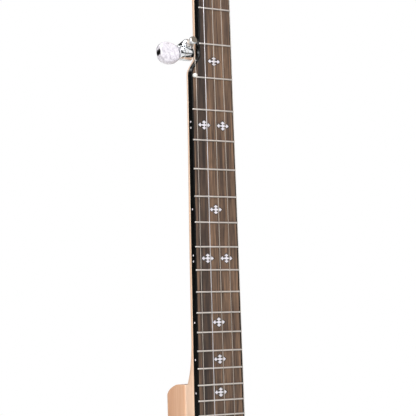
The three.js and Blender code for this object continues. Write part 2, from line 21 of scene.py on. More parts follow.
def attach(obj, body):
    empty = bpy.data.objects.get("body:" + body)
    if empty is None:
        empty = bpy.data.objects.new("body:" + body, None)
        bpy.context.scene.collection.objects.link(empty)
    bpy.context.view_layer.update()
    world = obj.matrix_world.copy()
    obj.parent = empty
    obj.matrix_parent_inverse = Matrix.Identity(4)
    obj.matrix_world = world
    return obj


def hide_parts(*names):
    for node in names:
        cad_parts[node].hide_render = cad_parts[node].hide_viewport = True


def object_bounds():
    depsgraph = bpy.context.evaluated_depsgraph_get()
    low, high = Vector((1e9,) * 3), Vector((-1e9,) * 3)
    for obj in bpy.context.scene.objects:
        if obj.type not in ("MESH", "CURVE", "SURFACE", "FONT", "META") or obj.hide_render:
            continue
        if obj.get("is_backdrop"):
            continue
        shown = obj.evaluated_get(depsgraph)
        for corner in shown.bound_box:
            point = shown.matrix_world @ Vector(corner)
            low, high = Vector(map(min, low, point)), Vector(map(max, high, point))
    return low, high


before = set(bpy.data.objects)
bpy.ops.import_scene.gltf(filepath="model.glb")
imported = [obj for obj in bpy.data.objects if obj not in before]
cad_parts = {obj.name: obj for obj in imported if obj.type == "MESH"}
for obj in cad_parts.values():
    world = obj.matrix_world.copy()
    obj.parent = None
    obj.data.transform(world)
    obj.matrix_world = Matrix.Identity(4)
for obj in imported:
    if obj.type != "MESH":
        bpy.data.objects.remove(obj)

LOG = logging.getLogger("banjo")
MM = 0.001
ROOT = "banjo"

Point = tuple[float, float, float]
Pair = tuple[float, float]
Colour = tuple[float, float, float, float]
Stops = tuple[tuple[float, str], ...]


# --------------------------------------------------------------------------- finishes


def linear(code: str) -> Colour:
    """Turn an sRGB hex code into a linear colour.

    Args:
        code: six hex digits after a hash sign.

    Returns:
        Red, green, blue and a full alpha, in linear light.
    """
    parts = [int(code[i : i + 2], 16) / 255 for i in (1, 3, 5)]
    return (*[c / 12.92 if c <= 0.04045 else ((c + 0.055) / 1.055) ** 2.4 for c in parts], 1.0)


def add_node(
    tree: bpy.types.NodeTree,
    kind: str,
    inputs: dict[str | int, object] | None = None,
    stops: Stops = (),
    **settings: object,
) -> bpy.types.Node:
    """Add a node with its settings, its values and the links that come into it.

    Args:
        tree: the tree that takes the node.
        kind: the node's type name.
        inputs: what goes on each input socket, a plain value or another node's output.
        stops: a colour ramp's stops, each a place and an sRGB hex code.
        settings: the node's own properties.

    Returns:
        The new node.
    """
    node = tree.nodes.new(kind)
    for name, value in settings.items():
        setattr(node, name, value)
    if stops:
        elements = node.color_ramp.elements
        while len(elements) < len(stops):
            elements.new(0.5)
        for element, (place, code) in zip(elements, stops):
            element.position = place
            element.color = linear(code)
    for socket, value in (inputs or {}).items():
        if isinstance(value, bpy.types.NodeSocket):
            tree.links.new(value, node.inputs[socket])
        else:
            node.inputs[socket].default_value = value
    return node


class Grain(Enum):
    """Which way a piece of wood's grain runs."""

    ALONG_NECK = "along the neck"
    ACROSS = "across the strings"
    ROUND_RIM = "round the rim"


@dataclass(frozen=True)
class Finish:
    """A surface finish: its material's name and the record's slot that it belongs to."""

    name: str
    slot: str

    def material(self) -> bpy.types.Material:
        """Return the finish's material, made on first use.

        Returns:
            The material, whose principled shader takes what the finish's surface says.
        """
        known = bpy.data.materials.get(self.name)
        if known is not None:
            return known
        material = bpy.data.materials.new(self.name)
        material.use_nodes = True
        tree = material.node_tree
        tree.nodes.clear()
        shader = add_node(tree, "ShaderNodeBsdfPrincipled", self.surface(tree))
        add_node(tree, "ShaderNodeOutputMaterial", {"Surface": shader.outputs["BSDF"]})
        return material

    def surface(self, tree: bpy.types.NodeTree) -> dict[str, object]:
        """Return what goes on each of the shader's sockets."""
        raise NotImplementedError

    def coordinates(self, tree: bpy.types.NodeTree) -> bpy.types.NodeSocket:
        """Return the coordinates that the pattern lies on, in metres."""
        return add_node(tree, "ShaderNodeTexCoord").outputs["Object"]

    def cells(self, tree: bpy.types.NodeTree, cell_mm: Point) -> bpy.types.NodeSocket:
        """Return the pattern's coordinates, counted in cells of a real size.

        Args:
            tree: the material's node tree.
            cell_mm: the cell along X, Y and Z.

        Returns:
            Coordinates that grow by one from a cell to the next.
        """
        scale = tuple(1 / (cell * MM) for cell in cell_mm)
        mapping = add_node(tree, "ShaderNodeMapping", {"Vector": self.coordinates(tree), "Scale": scale})
        return mapping.outputs["Vector"]

    def figure(
        self, tree: bpy.types.NodeTree, cell_mm: Point, detail: float, distortion: float = 0.0
    ) -> bpy.types.NodeSocket:
        """Return a value that wanders between 0 and 1, with one swing to a cell.

        Args:
            tree: the material's node tree.
            cell_mm: the cell along X, Y and Z.
            detail: how many finer layers lie over the first.
            distortion: how far the figure is swirled.

        Returns:
            The wandering value.
        """
        noise = {"Vector": self.cells(tree, cell_mm), "Scale": 1.0, "Roughness": 0.6}
        noise |= {"Detail": detail, "Distortion": distortion}
        return add_node(tree, "ShaderNodeTexNoise", noise).outputs["Fac"]


@dataclass(frozen=True)
class DarkBand:
    """A darker band of growth rings along a board, which drifts sideways towards one end.

    Its middle lies at the two centres across the board, at the two heights of its drift.
    Its half width runs from where it is full to where it is gone.
    """

    centre: Pair = (-13.0, -2.7)
    drift: Pair = (-222.0, -75.0)
    half: Pair = (3.4, 6.2)
    depth: float = 0.13

    def offset(self, tree: bpy.types.NodeTree) -> bpy.types.NodeSocket:
        """Return how far the band pulls the wood's tone down at each place.

        Args:
            tree: the wood's node tree.

        Returns:
            Minus the band's depth at its middle, and nothing outside it.
        """
        place = add_node(tree, "ShaderNodeTexCoord").outputs["Object"]
        axes = add_node(tree, "ShaderNodeSeparateXYZ", {0: place}).outputs
        along = {"Value": axes["Z"], "From Min": self.drift[0] * MM, "From Max": self.drift[1] * MM}
        along |= {"To Min": self.centre[0] * MM, "To Max": self.centre[1] * MM}
        middle = add_node(tree, "ShaderNodeMapRange", along).outputs["Result"]
        away = add_node(tree, "ShaderNodeMath", {0: axes["X"], 1: middle}, operation="SUBTRACT").outputs[0]
        distance = add_node(tree, "ShaderNodeMath", {0: away}, operation="ABSOLUTE").outputs[0]
        fade = {"Value": distance, "From Min": self.half[0] * MM, "From Max": self.half[1] * MM}
        fade |= {"To Min": -self.depth, "To Max": 0.0}
        shift = add_node(tree, "ShaderNodeMapRange", fade, interpolation_type="SMOOTHSTEP")
        return shift.outputs["Result"]


@dataclass(frozen=True)
class Wood(Finish):
    """Sawn and sanded wood: long narrow streaks, with pores where the kind is open-grained.

    The streaks run along the grain and are some 30 times as long as they are wide, which is
    what tells the eye that the wood was sawn along the tree.
    """

    stops: Stops = ()
    streak_mm: float = 1.2
    stretch: float = 30.0
    broad: float = 5.0
    broad_share: float = 0.45
    pore: float = 0.0
    pore_width: float = 0.45
    pore_window: Pair = (0.36, 0.47)
    pore_code: str = "#1c1410"
    relief_mm: float = 0.03
    roughness: float = 0.42
    ior: float = 1.5
    lacquer: float = 0.25
    lacquer_roughness: float = 0.25
    grain: Grain = Grain.ALONG_NECK
    band: DarkBand | None = None

    def streak(self, scale: float = 1.0) -> Point:
        """Return a streak's cell, for one that many times as wide as the plain streak.

        Args:
            scale: the streak's width, in plain streaks.

        Returns:
            The cell in millimetres, long in the grain's own direction.
        """
        width = self.streak_mm * scale
        long = width * self.stretch
        return (width, width, long) if self.grain is Grain.ALONG_NECK else (long, width, width)

    def coordinates(self, tree: bpy.types.NodeTree) -> bpy.types.NodeSocket:
        """Return the pattern's coordinates, unrolled for a bent rim.

        Args:
            tree: the wood's node tree.

        Returns:
            The object's own coordinates, or for a rim the length round it, its depth and its radius.
        """
        place = super().coordinates(tree)
        if self.grain is not Grain.ROUND_RIM:
            return place
        centre = (0, 0, Pot.centre * MM)
        centred = add_node(tree, "ShaderNodeVectorMath", {0: place, 1: centre}, operation="ADD").outputs[0]
        axes = add_node(tree, "ShaderNodeSeparateXYZ", {0: centred}).outputs
        across = {0: axes["X"], 1: axes["Z"]}
        turn = add_node(tree, "ShaderNodeMath", across, operation="ARCTAN2").outputs[0]
        rim = {0: turn, 1: Pot.rim_outer * MM}
        length = add_node(tree, "ShaderNodeMath", rim, operation="MULTIPLY").outputs[0]
        radius = add_node(tree, "ShaderNodeVectorMath", {0: centred}, operation="LENGTH").outputs["Value"]
        unrolled = add_node(tree, "ShaderNodeCombineXYZ", {"X": length, "Y": axes["Y"], "Z": radius})
        return unrolled.outputs[0]

    def surface(self, tree: bpy.types.NodeTree) -> dict[str, object]:
        """Return what goes on each of the shader's sockets.

        Args:
            tree: the wood's node tree.

        Returns:
            Streaks of two widths coloured by the stops, dark sunk pores, and the lacquer.
        """
        streaks = self.figure(tree, self.streak(), 5, 0.15)
        broad = self.figure(tree, self.streak(self.broad), 3, 0.3)
        both = {"Factor": self.broad_share, "A": streaks, "B": broad}
        tone = add_node(tree, "ShaderNodeMix", both, data_type="FLOAT").outputs["Result"]
        if self.band is not None:
            pulled = {0: tone, 1: self.band.offset(tree)}
            tone = add_node(tree, "ShaderNodeMath", pulled, operation="ADD").outputs[0]
        colour = add_node(tree, "ShaderNodeValToRGB", {"Fac": tone}, stops=self.stops).outputs["Color"]
        height = streaks
        if self.pore > 0:
            pores = self.figure(tree, self.streak(self.pore_width), 2)
            low, high = self.pore_window
            window = {"Value": pores, "From Min": low, "From Max": high, "To Min": self.pore, "To Max": 0.0}
            dark = add_node(tree, "ShaderNodeMapRange", window).outputs["Result"]
            shades = {"Factor": dark, "A": colour, "B": linear(self.pore_code)}
            colour = add_node(tree, "ShaderNodeMix", shades, data_type="RGBA").outputs["Result"]
            height = add_node(tree, "ShaderNodeMath", {0: 1.0, 1: dark}, operation="SUBTRACT").outputs[0]
        relief = {"Height": height, "Distance": self.relief_mm * MM, "Strength": 1.0}
        return {
            "Base Color": colour,
            "Roughness": self.roughness,
            "IOR": self.ior,
            "Coat Weight": self.lacquer,
            "Coat Roughness": self.lacquer_roughness,
            "Normal": add_node(tree, "ShaderNodeBump", relief).outputs["Normal"],
        }


@dataclass(frozen=True)
class Polymer(Finish):
    """Moulded or turned plastic, bone or film: one colour that drifts a little, with fine grit."""

    stops: Stops = ()
    cell_mm: float = 4.0
    swirl: float = 0.0
    roughness: float = 0.3
    ior: float = 1.49
    specular: float = 0.5
    coat: float = 0.0
    coat_roughness: float = 0.05
    grit_mm: float = 0.3
    relief_mm: float = 0.004
    scatter: float = 0.0
    scatter_reach: Point = (0.002, 0.002, 0.0018)

    def surface(self, tree: bpy.types.NodeTree) -> dict[str, object]:
        """Return what goes on each of the shader's sockets.

        Args:
            tree: the material's node tree.

        Returns:
            A cloudy colour from the stops, the gloss, the depth and the grit's relief.
        """
        cloud = self.figure(tree, (self.cell_mm,) * 3, 4, self.swirl)
        colour = add_node(tree, "ShaderNodeValToRGB", {"Fac": cloud}, stops=self.stops).outputs["Color"]
        grit = self.figure(tree, (self.grit_mm,) * 3, 2)
        relief = {"Height": grit, "Distance": self.relief_mm * MM, "Strength": 1.0}
        return {
            "Base Color": colour,
            "Roughness": self.roughness,
            "IOR": self.ior,
            "Specular IOR Level": self.specular,
            "Coat Weight": self.coat,
            "Coat Roughness": self.coat_roughness,
            "Subsurface Weight": self.scatter,
            "Subsurface Radius": self.scatter_reach,
            "Normal": add_node(tree, "ShaderNodeBump", relief).outputs["Normal"],
        }


@dataclass(frozen=True)
class Metal(Finish):
    """Plated, drawn or wound metal: a metallic colour whose roughness drifts with handling."""

    code: str = "#d8d9da"
    roughness: Pair = (0.06, 0.14)
    smear_mm: Point = (9.0, 9.0, 9.0)
    smear_window: Pair = (0.35, 0.65)
    scratch_mm: Point = (0.4, 0.4, 0.4)
    relief_mm: float = 0.002
    winding_mm: float = 0.0

    def surface(self, tree: bpy.types.NodeTree) -> dict[str, object]:
        """Return what goes on each of the shader's sockets.

        Args:
            tree: the material's node tree.

        Returns:
            The metal's colour, its smeared roughness, and its scratches or its winding.
        """
        smear = self.figure(tree, self.smear_mm, 3)
        (low, high), (smooth, dull) = self.smear_window, self.roughness
        window = {"Value": smear, "From Min": low, "From Max": high, "To Min": smooth, "To Max": dull}
        rough = add_node(tree, "ShaderNodeMapRange", window).outputs["Result"]
        if self.winding_mm > 0:
            # One wave of the texture is as long as a full turn in radians.
            cells = self.cells(tree, (self.winding_mm * 6.28,) * 3)
            wave = {"Vector": cells, "Scale": 1.0, "Distortion": 0.0}
            height = add_node(tree, "ShaderNodeTexWave", wave, bands_direction="Z").outputs["Fac"]
        else:
            height = self.figure(tree, self.scratch_mm, 2)
        relief = {"Height": height, "Distance": self.relief_mm * MM, "Strength": 1.0}
        return {
            "Base Color": linear(self.code),
            "Metallic": 1.0,
            "Roughness": rough,
            "Normal": add_node(tree, "ShaderNodeBump", relief).outputs["Normal"],
        }


# Hard maple, planed and sprayed with a satin lacquer: pale peach with faint long streaks.
MAPLE = Wood(
    "satin_lacquered_maple",
    "maple",
    stops=((0.3, "#e6b89a"), (0.5, "#f5d2b6"), (0.7, "#fce4d0")),
    streak_mm=1.6,
    stretch=34,
)
# The block under the neck for the heel: the same maple painted a deeper tan, as painted shade on the heel's
# side; same lacquer.
HEEL_MAPLE_PAINTED_SHADE = Wood(
    "heel_maple_painted_shade",
    "maple",
    stops=((0.3, "#c6936f"), (0.5, "#d8a988"), (0.7, "#e4bc9c")),
    streak_mm=1.8,
    stretch=30,
)
# The same maple, steamed and bent round the rim in plies.
BENT_MAPLE = Wood(
    "bent_lacquered_maple",
    "maple",
    stops=((0.3, "#d3a177"), (0.5, "#e8bd93"), (0.7, "#f3d2ae")),
    streak_mm=1.8,
    grain=Grain.ROUND_RIM,
)
# A dark open-grained fretboard wood, scraped and oiled: brown streaks, black pores, low sheen.
ROSEWOOD = Wood(
    "oiled_rosewood",
    "rosewood",
    stops=((0.3, "#2b211c"), (0.44, "#503e32"), (0.56, "#7b604b"), (0.7, "#a07d61")),
    streak_mm=1.3,
    stretch=28,
    pore=0.6,
    roughness=0.55,
    lacquer=0.0,
    band=DarkBand(),
)
# Edge strips of black celluloid, scraped level and polished: deep black with a sharp gloss.
BLACK_BINDING = Polymer(
    "polished_black_celluloid",
    "black_binding",
    stops=((0.3, "#060607"), (0.7, "#0d0f0e")),
    roughness=0.25,
    specular=0.28,
)
# Black epoxy in the gap round the pearl: a thin dull dark line, drawn wide enough to be painted shade along
# the inlay's edge as well.
FILLER_AND_PAINTED_SHADE = Polymer(
    "black_filler_and_painted_shade", "black_binding", stops=((0.3, "#120d0b"), (0.7, "#1c1512")), roughness=0.5
)
# Bleached bone, cut and polished: off-white and slightly deep.
BONE = Polymer(
    "polished_bone",
    "bone",
    stops=((0.3, "#f0eee8"), (0.7, "#fbfaf8")),
    cell_mm=2.5,
    roughness=0.3,
    scatter=0.15,
)
# Cast pearl-effect plastic: cool white clouds swirled into grey, under a glassy skin.
PEARLOID = Polymer(
    "cast_pearloid",
    "pearl",
    stops=((0.32, "#b6b1ba"), (0.46, "#cfcad1"), (0.56, "#e3dfe5"), (0.68, "#c2bdc6")),
    cell_mm=5.0,
    swirl=2.2,
    roughness=0.2,
    coat=0.5,
    scatter=0.1,
    relief_mm=0.001,
)
# Mother-of-pearl sawn thin and levelled with the board: bright white with a faint figure.
INLAY_PEARL = Polymer(
    "levelled_mother_of_pearl",
    "inlay_pearl",
    stops=((0.3, "#c6c2c8"), (0.5, "#e0dce1"), (0.7, "#d2ced7")),
    cell_mm=2.0,
    swirl=1.0,
    roughness=0.3,
)
# A polyester drum film sprayed with a rough white coat, which scatters light evenly.
DRUMHEAD = Polymer(
    "frosted_polyester_film",
    "drumhead",
    stops=((0.3, "#efece3"), (0.7, "#f8f6ef")),
    cell_mm=30.0,
    roughness=0.7,
    grit_mm=0.6,
    relief_mm=0.06,
)
# Zinc castings under bright chromium: a cold mirror.
CHROME = Metal("bright_chromium_plate", "chrome", code="#e2e4e6", roughness=(0.04, 0.1))
# Brass fittings under nickel: a warmer, slightly softer mirror.
NICKEL = Metal("bright_nickel_plate", "nickel", code="#d9d5cd", roughness=(0.1, 0.2))
# Nickel painted a dull warm grey on the fifth post's end: a painted reflection, in place of what the
# chromed end mirrors.
DULL_NICKEL_PAINTED_REFLECTION = Metal("post_end_painted_reflection", "chrome", code="#7f766a", roughness=(0.35, 0.5))
# Nickel silver drawn to a crown and filed across the board.
FRET_WIRE = Metal(
    "crowned_nickel_silver",
    "fret_wire",
    code="#e2dbd5",
    roughness=(0.28, 0.38),
    scratch_mm=(3.0, 0.2, 0.2),
    relief_mm=0.0005,
)
# Turned and drawn steel, oiled.
STEEL = Metal("turned_steel", "steel", code="#aaa8a4", roughness=(0.25, 0.4))
# Steel painted nearly black for the buttons' screw heads: painted shade for a head sunk in its button.
DARK_STEEL_PAINTED_SHADE = Metal("button_screw_painted_shade", "steel", code="#3a3838", roughness=(0.3, 0.45))
# Tinned steel wire, drawn smooth.
PLAIN_WIRE = Metal(
    "tinned_string_wire", "string_steel", code="#d2c8bd", roughness=(0.4, 0.5), relief_mm=0.0004
)
# Bronze wire wound on a steel core. The winding is drawn twice as coarse as the real one to show.
WOUND_WIRE = Metal(
    "bronze_wound_wire",
    "string_steel",
    code="#f3f0f3",
    roughness=(0.35, 0.45),
    winding_mm=0.5,
    relief_mm=0.02,
)
# Quarter-sawn maple darkened with oil, for the bridge.
OILED_MAPLE = Wood(
    "oiled_quartered_maple",
    "bridge_maple",
    stops=((0.3, "#9c6b40"), (0.5, "#b98555"), (0.7, "#c8996a")),
    streak_mm=0.7,
    grain=Grain.ACROSS,
    lacquer=0.1,
)
# Ebony, scraped and burnished, for the bridge's top.
EBONY = Wood(
    "burnished_ebony",
    "bridge_maple",
    stops=((0.3, "#120e0c"), (0.7, "#251d19")),
    streak_mm=0.6,
    grain=Grain.ACROSS,
    roughness=0.35,
)
# Heavy matt paper, rolled out flat for the floor: pale, with no sheen.
FLOOR_PAPER = Polymer(
    "matt_floor_paper",
    "drumhead",
    stops=((0.3, "#f2f2f1"), (0.7, "#f6f6f5")),
    cell_mm=200.0,
    roughness=0.9,
)


# --------------------------------------------------------------------------- mesh making


def clamp(value: float, low: float, high: float) -> float:
    """Return the value, kept between two limits."""
    return max(low, min(high, value))


def smooth_step(value: float, low: float, high: float) -> float:
    """Return 0 below low, 1 above high and a smooth rise between them."""
    t = clamp((value - low) / (high - low), 0, 1)
    return t * t * (3 - 2 * t)


def rounded(points: Sequence[Pair], steps: int = 5) -> list[Pair]:
    """Run a smooth curve through a list of points.

    Args:
        points: the points, of which the first and the last are kept as ends.
        steps: how many stretches each gap is divided into.

    Returns:
        The points of the curve, with both ends.
    """
    padded = [points[0], *points, points[-1]]
    curve: list[Pair] = []
    for i in range(1, len(padded) - 2):
        a, b, c, d = (Vector(p) for p in padded[i - 1 : i + 3])
        for step in range(steps):
            t = step / steps
            value = 2 * b + (c - a) * t
            value += (2 * a - 5 * b + 4 * c - d) * t**2 + (3 * b - a - 3 * c + d) * t**3
            curve.append(tuple(value / 2))
    curve.append(tuple(points[-1]))
    return curve


def arc(centre: Pair, radius: float, start: float, end: float, steps: int = 6) -> list[Pair]:
    """Return the points of an arc, with its angles in degrees."""
    turns = [math.radians(start + (end - start) * i / steps) for i in range(steps + 1)]
    return [(centre[0] + radius * math.cos(t), centre[1] + radius * math.sin(t)) for t in turns]


class Form:
    """A closed mesh being made, in millimetres."""

    def __init__(self) -> None:
        """Start an empty form."""
        self.mesh = bmesh.new()

    def loft(self, rings: Sequence[Sequence[Point]], endless: bool = False) -> Form:
        """Add a skin over a list of rings with equal numbers of points.

        Args:
            rings: the rings, in order.
            endless: whether the last ring joins the first, or both ends get a cap.

        Returns:
            The form itself.
        """
        rows = [[self.mesh.verts.new(p) for p in ring] for ring in rings]
        count = len(rows[0])
        pairs = list(zip(rows, rows[1:]))
        if endless:
            pairs.append((rows[-1], rows[0]))
        for low, high in pairs:
            for i in range(count):
                j = (i + 1) % count
                self.mesh.faces.new((low[i], low[j], high[j], high[i]))
        if not endless:
            self.mesh.faces.new(rows[0])
            self.mesh.faces.new(rows[-1])
        return self

    def turn(self, profile: Sequence[Pair], sides: int = 48, endless: bool = False) -> Form:
        """Add a form turned about the Y axis from (radius, y) points.

        Args:
            profile: the section, from one end to the other.
            sides: how many sides the turned form has.
            endless: whether the section closes on itself, as a ring's does.

        Returns:
            The form itself.
        """
        turns = [2 * math.pi * i / sides for i in range(sides)]
        rings = [[(r * math.sin(t), y, r * math.cos(t)) for t in turns] for r, y in profile]
        return self.loft(rings, endless)

    def plate(self, outline: Sequence[Pair], front: float, back: float) -> Form:
        """Add an outline in X and Z, thickened from front to back along Y."""
        return self.loft([[(x, y, z) for x, z in outline] for y in (front, back)])

    def side_plate(self, outline: Sequence[Pair], low: float, high: float) -> Form:
        """Add an outline in Y and Z, thickened from low to high along X."""
        return self.loft([[(x, y, z) for y, z in outline] for x in (low, high)])

    def hexagon(self, radius: float, low: float, high: float) -> Form:
        """Add a hexagonal nut or head about Y with its corners chamfered.

        Args:
            radius: from the axis to a corner.
            low: where it starts along Y.
            high: where it ends.

        Returns:
            The form itself.
        """
        rise, drawn = min(0.9, (high - low) / 4), 0.88 * radius
        return self.turn([(drawn, low), (radius, low + rise), (radius, high - rise), (drawn, high)], 6)

    def tube(
        self, path: Sequence[Sequence[float]], radius: float | Sequence[float], sides: int = 12
    ) -> Form:
        """Add a round wire along a path.

        Args:
            path: the points of the wire's centre line.
            radius: one radius, or one for each point.
            sides: how many sides the wire's section has.

        Returns:
            The form itself.
        """
        points = [Vector(p) for p in path]
        radii = list(radius) if isinstance(radius, Sequence) else [radius] * len(points)
        runs = [(b - a).normalized() for a, b in zip(points, points[1:])]
        heads = [runs[0], *[(a + b).normalized() for a, b in zip(runs, runs[1:])], runs[-1]]
        across = heads[0].orthogonal().normalized()
        rings = []
        for point, ahead, size in zip(points, heads, radii):
            across = (across - ahead * across.dot(ahead)).normalized()
            other = ahead.cross(across)
            turns = [2 * math.pi * i / sides for i in range(sides)]
            spokes = (across * math.cos(t) + other * math.sin(t) for t in turns)
            rings.append([tuple(point + spoke * size) for spoke in spokes])
        return self.loft(rings)

    def bevel(self, width: float, segments: int = 2, angle: float = 30) -> Form:
        """Round every edge that is sharper than an angle in degrees.

        Args:
            width: how far the rounding reaches from the edge.
            segments: how many facets it has.
            angle: the least angle that counts as an edge.

        Returns:
            The form itself.
        """
        bmesh.ops.recalc_face_normals(self.mesh, faces=self.mesh.faces)
        limit = math.radians(angle)
        edges = [e for e in self.mesh.edges if e.is_manifold and e.calc_face_angle() > limit]
        bmesh.ops.bevel(
            self.mesh,
            geom=edges,
            offset=width,
            segments=segments,
            profile=0.5,
            affect="EDGES",
            clamp_overlap=True,
        )
        return self

    def move(self, place: Matrix) -> Form:
        """Move the whole form by a matrix in millimetres."""
        self.mesh.transform(place)
        return self

    def swap(self, axis: str) -> Form:
        """Turn a form made about Y so that Y becomes the named axis.

        Args:
            axis: "X" or "Z".

        Returns:
            The form itself.
        """
        sign, about = (-1, "Z") if axis == "X" else (1, "X")
        turn = Matrix.Rotation(sign * math.pi / 2, 4, about)
        return self.move(turn)

    def copy(self) -> Form:
        """Return a separate copy of the form.

        Returns:
            The copy, for a form that is used more than once.
        """
        made = Form()
        made.mesh = self.mesh.copy()
        return made

    def object(self, name: str, smooth: float = 35) -> bpy.types.Object:
        """Turn the form into an object in metres, smooth up to an angle in degrees.

        Args:
            name: the object's name.
            smooth: the sharpest angle that is shaded smooth.

        Returns:
            The object. The form is used up.
        """
        bmesh.ops.recalc_face_normals(self.mesh, faces=self.mesh.faces)
        self.mesh.transform(Matrix.Scale(MM, 4))
        data = bpy.data.meshes.new(name)
        self.mesh.to_mesh(data)
        self.mesh.free()
        shade(data, smooth)
        made = bpy.data.objects.new(name, data)
        bpy.context.scene.collection.objects.link(made)
        return made


def shade(data: bpy.types.Mesh, smooth: float) -> None:
    """Shade a mesh smooth, apart from edges sharper than an angle in degrees."""
    data.polygons.foreach_set("use_smooth", [True] * len(data.polygons))
    data.set_sharp_from_angle(angle=math.radians(smooth))


def carve(
    name: str, solids: Sequence[Form], cutters: Sequence[Form] = (), smooth: float = 35
) -> bpy.types.Object:
    """Join closed forms into one and cut others out of it.

    Args:
        name: the new object's name.
        solids: the forms that are joined.
        cutters: the forms that are cut away.
        smooth: the shading angle in degrees.

    Returns:
        One object with one clean skin.
    """
    made = solids[0].object(name, smooth)
    jobs = [(form, "UNION") for form in solids[1:]] + [(form, "DIFFERENCE") for form in cutters]
    helpers = []
    for form, operation in jobs:
        helper = form.object(f"{name}_helper", smooth)
        helpers.append(helper)
        step = made.modifiers.new(operation, "BOOLEAN")
        step.operation = operation
        step.solver = "EXACT"
        step.object = helper
    graph = bpy.context.evaluated_depsgraph_get()
    data = bpy.data.meshes.new_from_object(made.evaluated_get(graph), depsgraph=graph)
    made.modifiers.clear()
    made.data = data
    for helper in helpers:
        bpy.data.objects.remove(helper)
    shade(data, smooth)
    return made


def fit(
    piece: bpy.types.Object, finish: Finish, body: str = ROOT, stands_for: Sequence[str] = ()
) -> bpy.types.Object:
    """Give a piece its finish, its body and the frame's nodes that it stands for.

    Args:
        piece: the piece, in its place.
        finish: its finish.
        body: the body that it moves with.
        stands_for: the frame's nodes that it is shown instead of.

    Returns:
        The piece.
    """
    piece.data.materials.clear()
    piece.data.materials.append(finish.material())
    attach(piece, body)
    if stands_for:
        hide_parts(*stands_for)
    LOG.info("%s rides on %s, finished in %s", piece.name, body, finish.name)
    return piece


def keep(node: str, finish: Finish, smooth: float = 30) -> None:
    """Show one of the frame's own nodes in a finish.

    Args:
        node: the node's name.
        finish: its finish.
        smooth: the sharpest angle that is shaded smooth.
    """
    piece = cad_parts[node]
    piece.data.materials.clear()
    piece.data.materials.append(finish.material())
    shade(piece.data, smooth)
    LOG.info("%s is kept, finished in %s", node, finish.name)


# --------------------------------------------------------------------------- the board


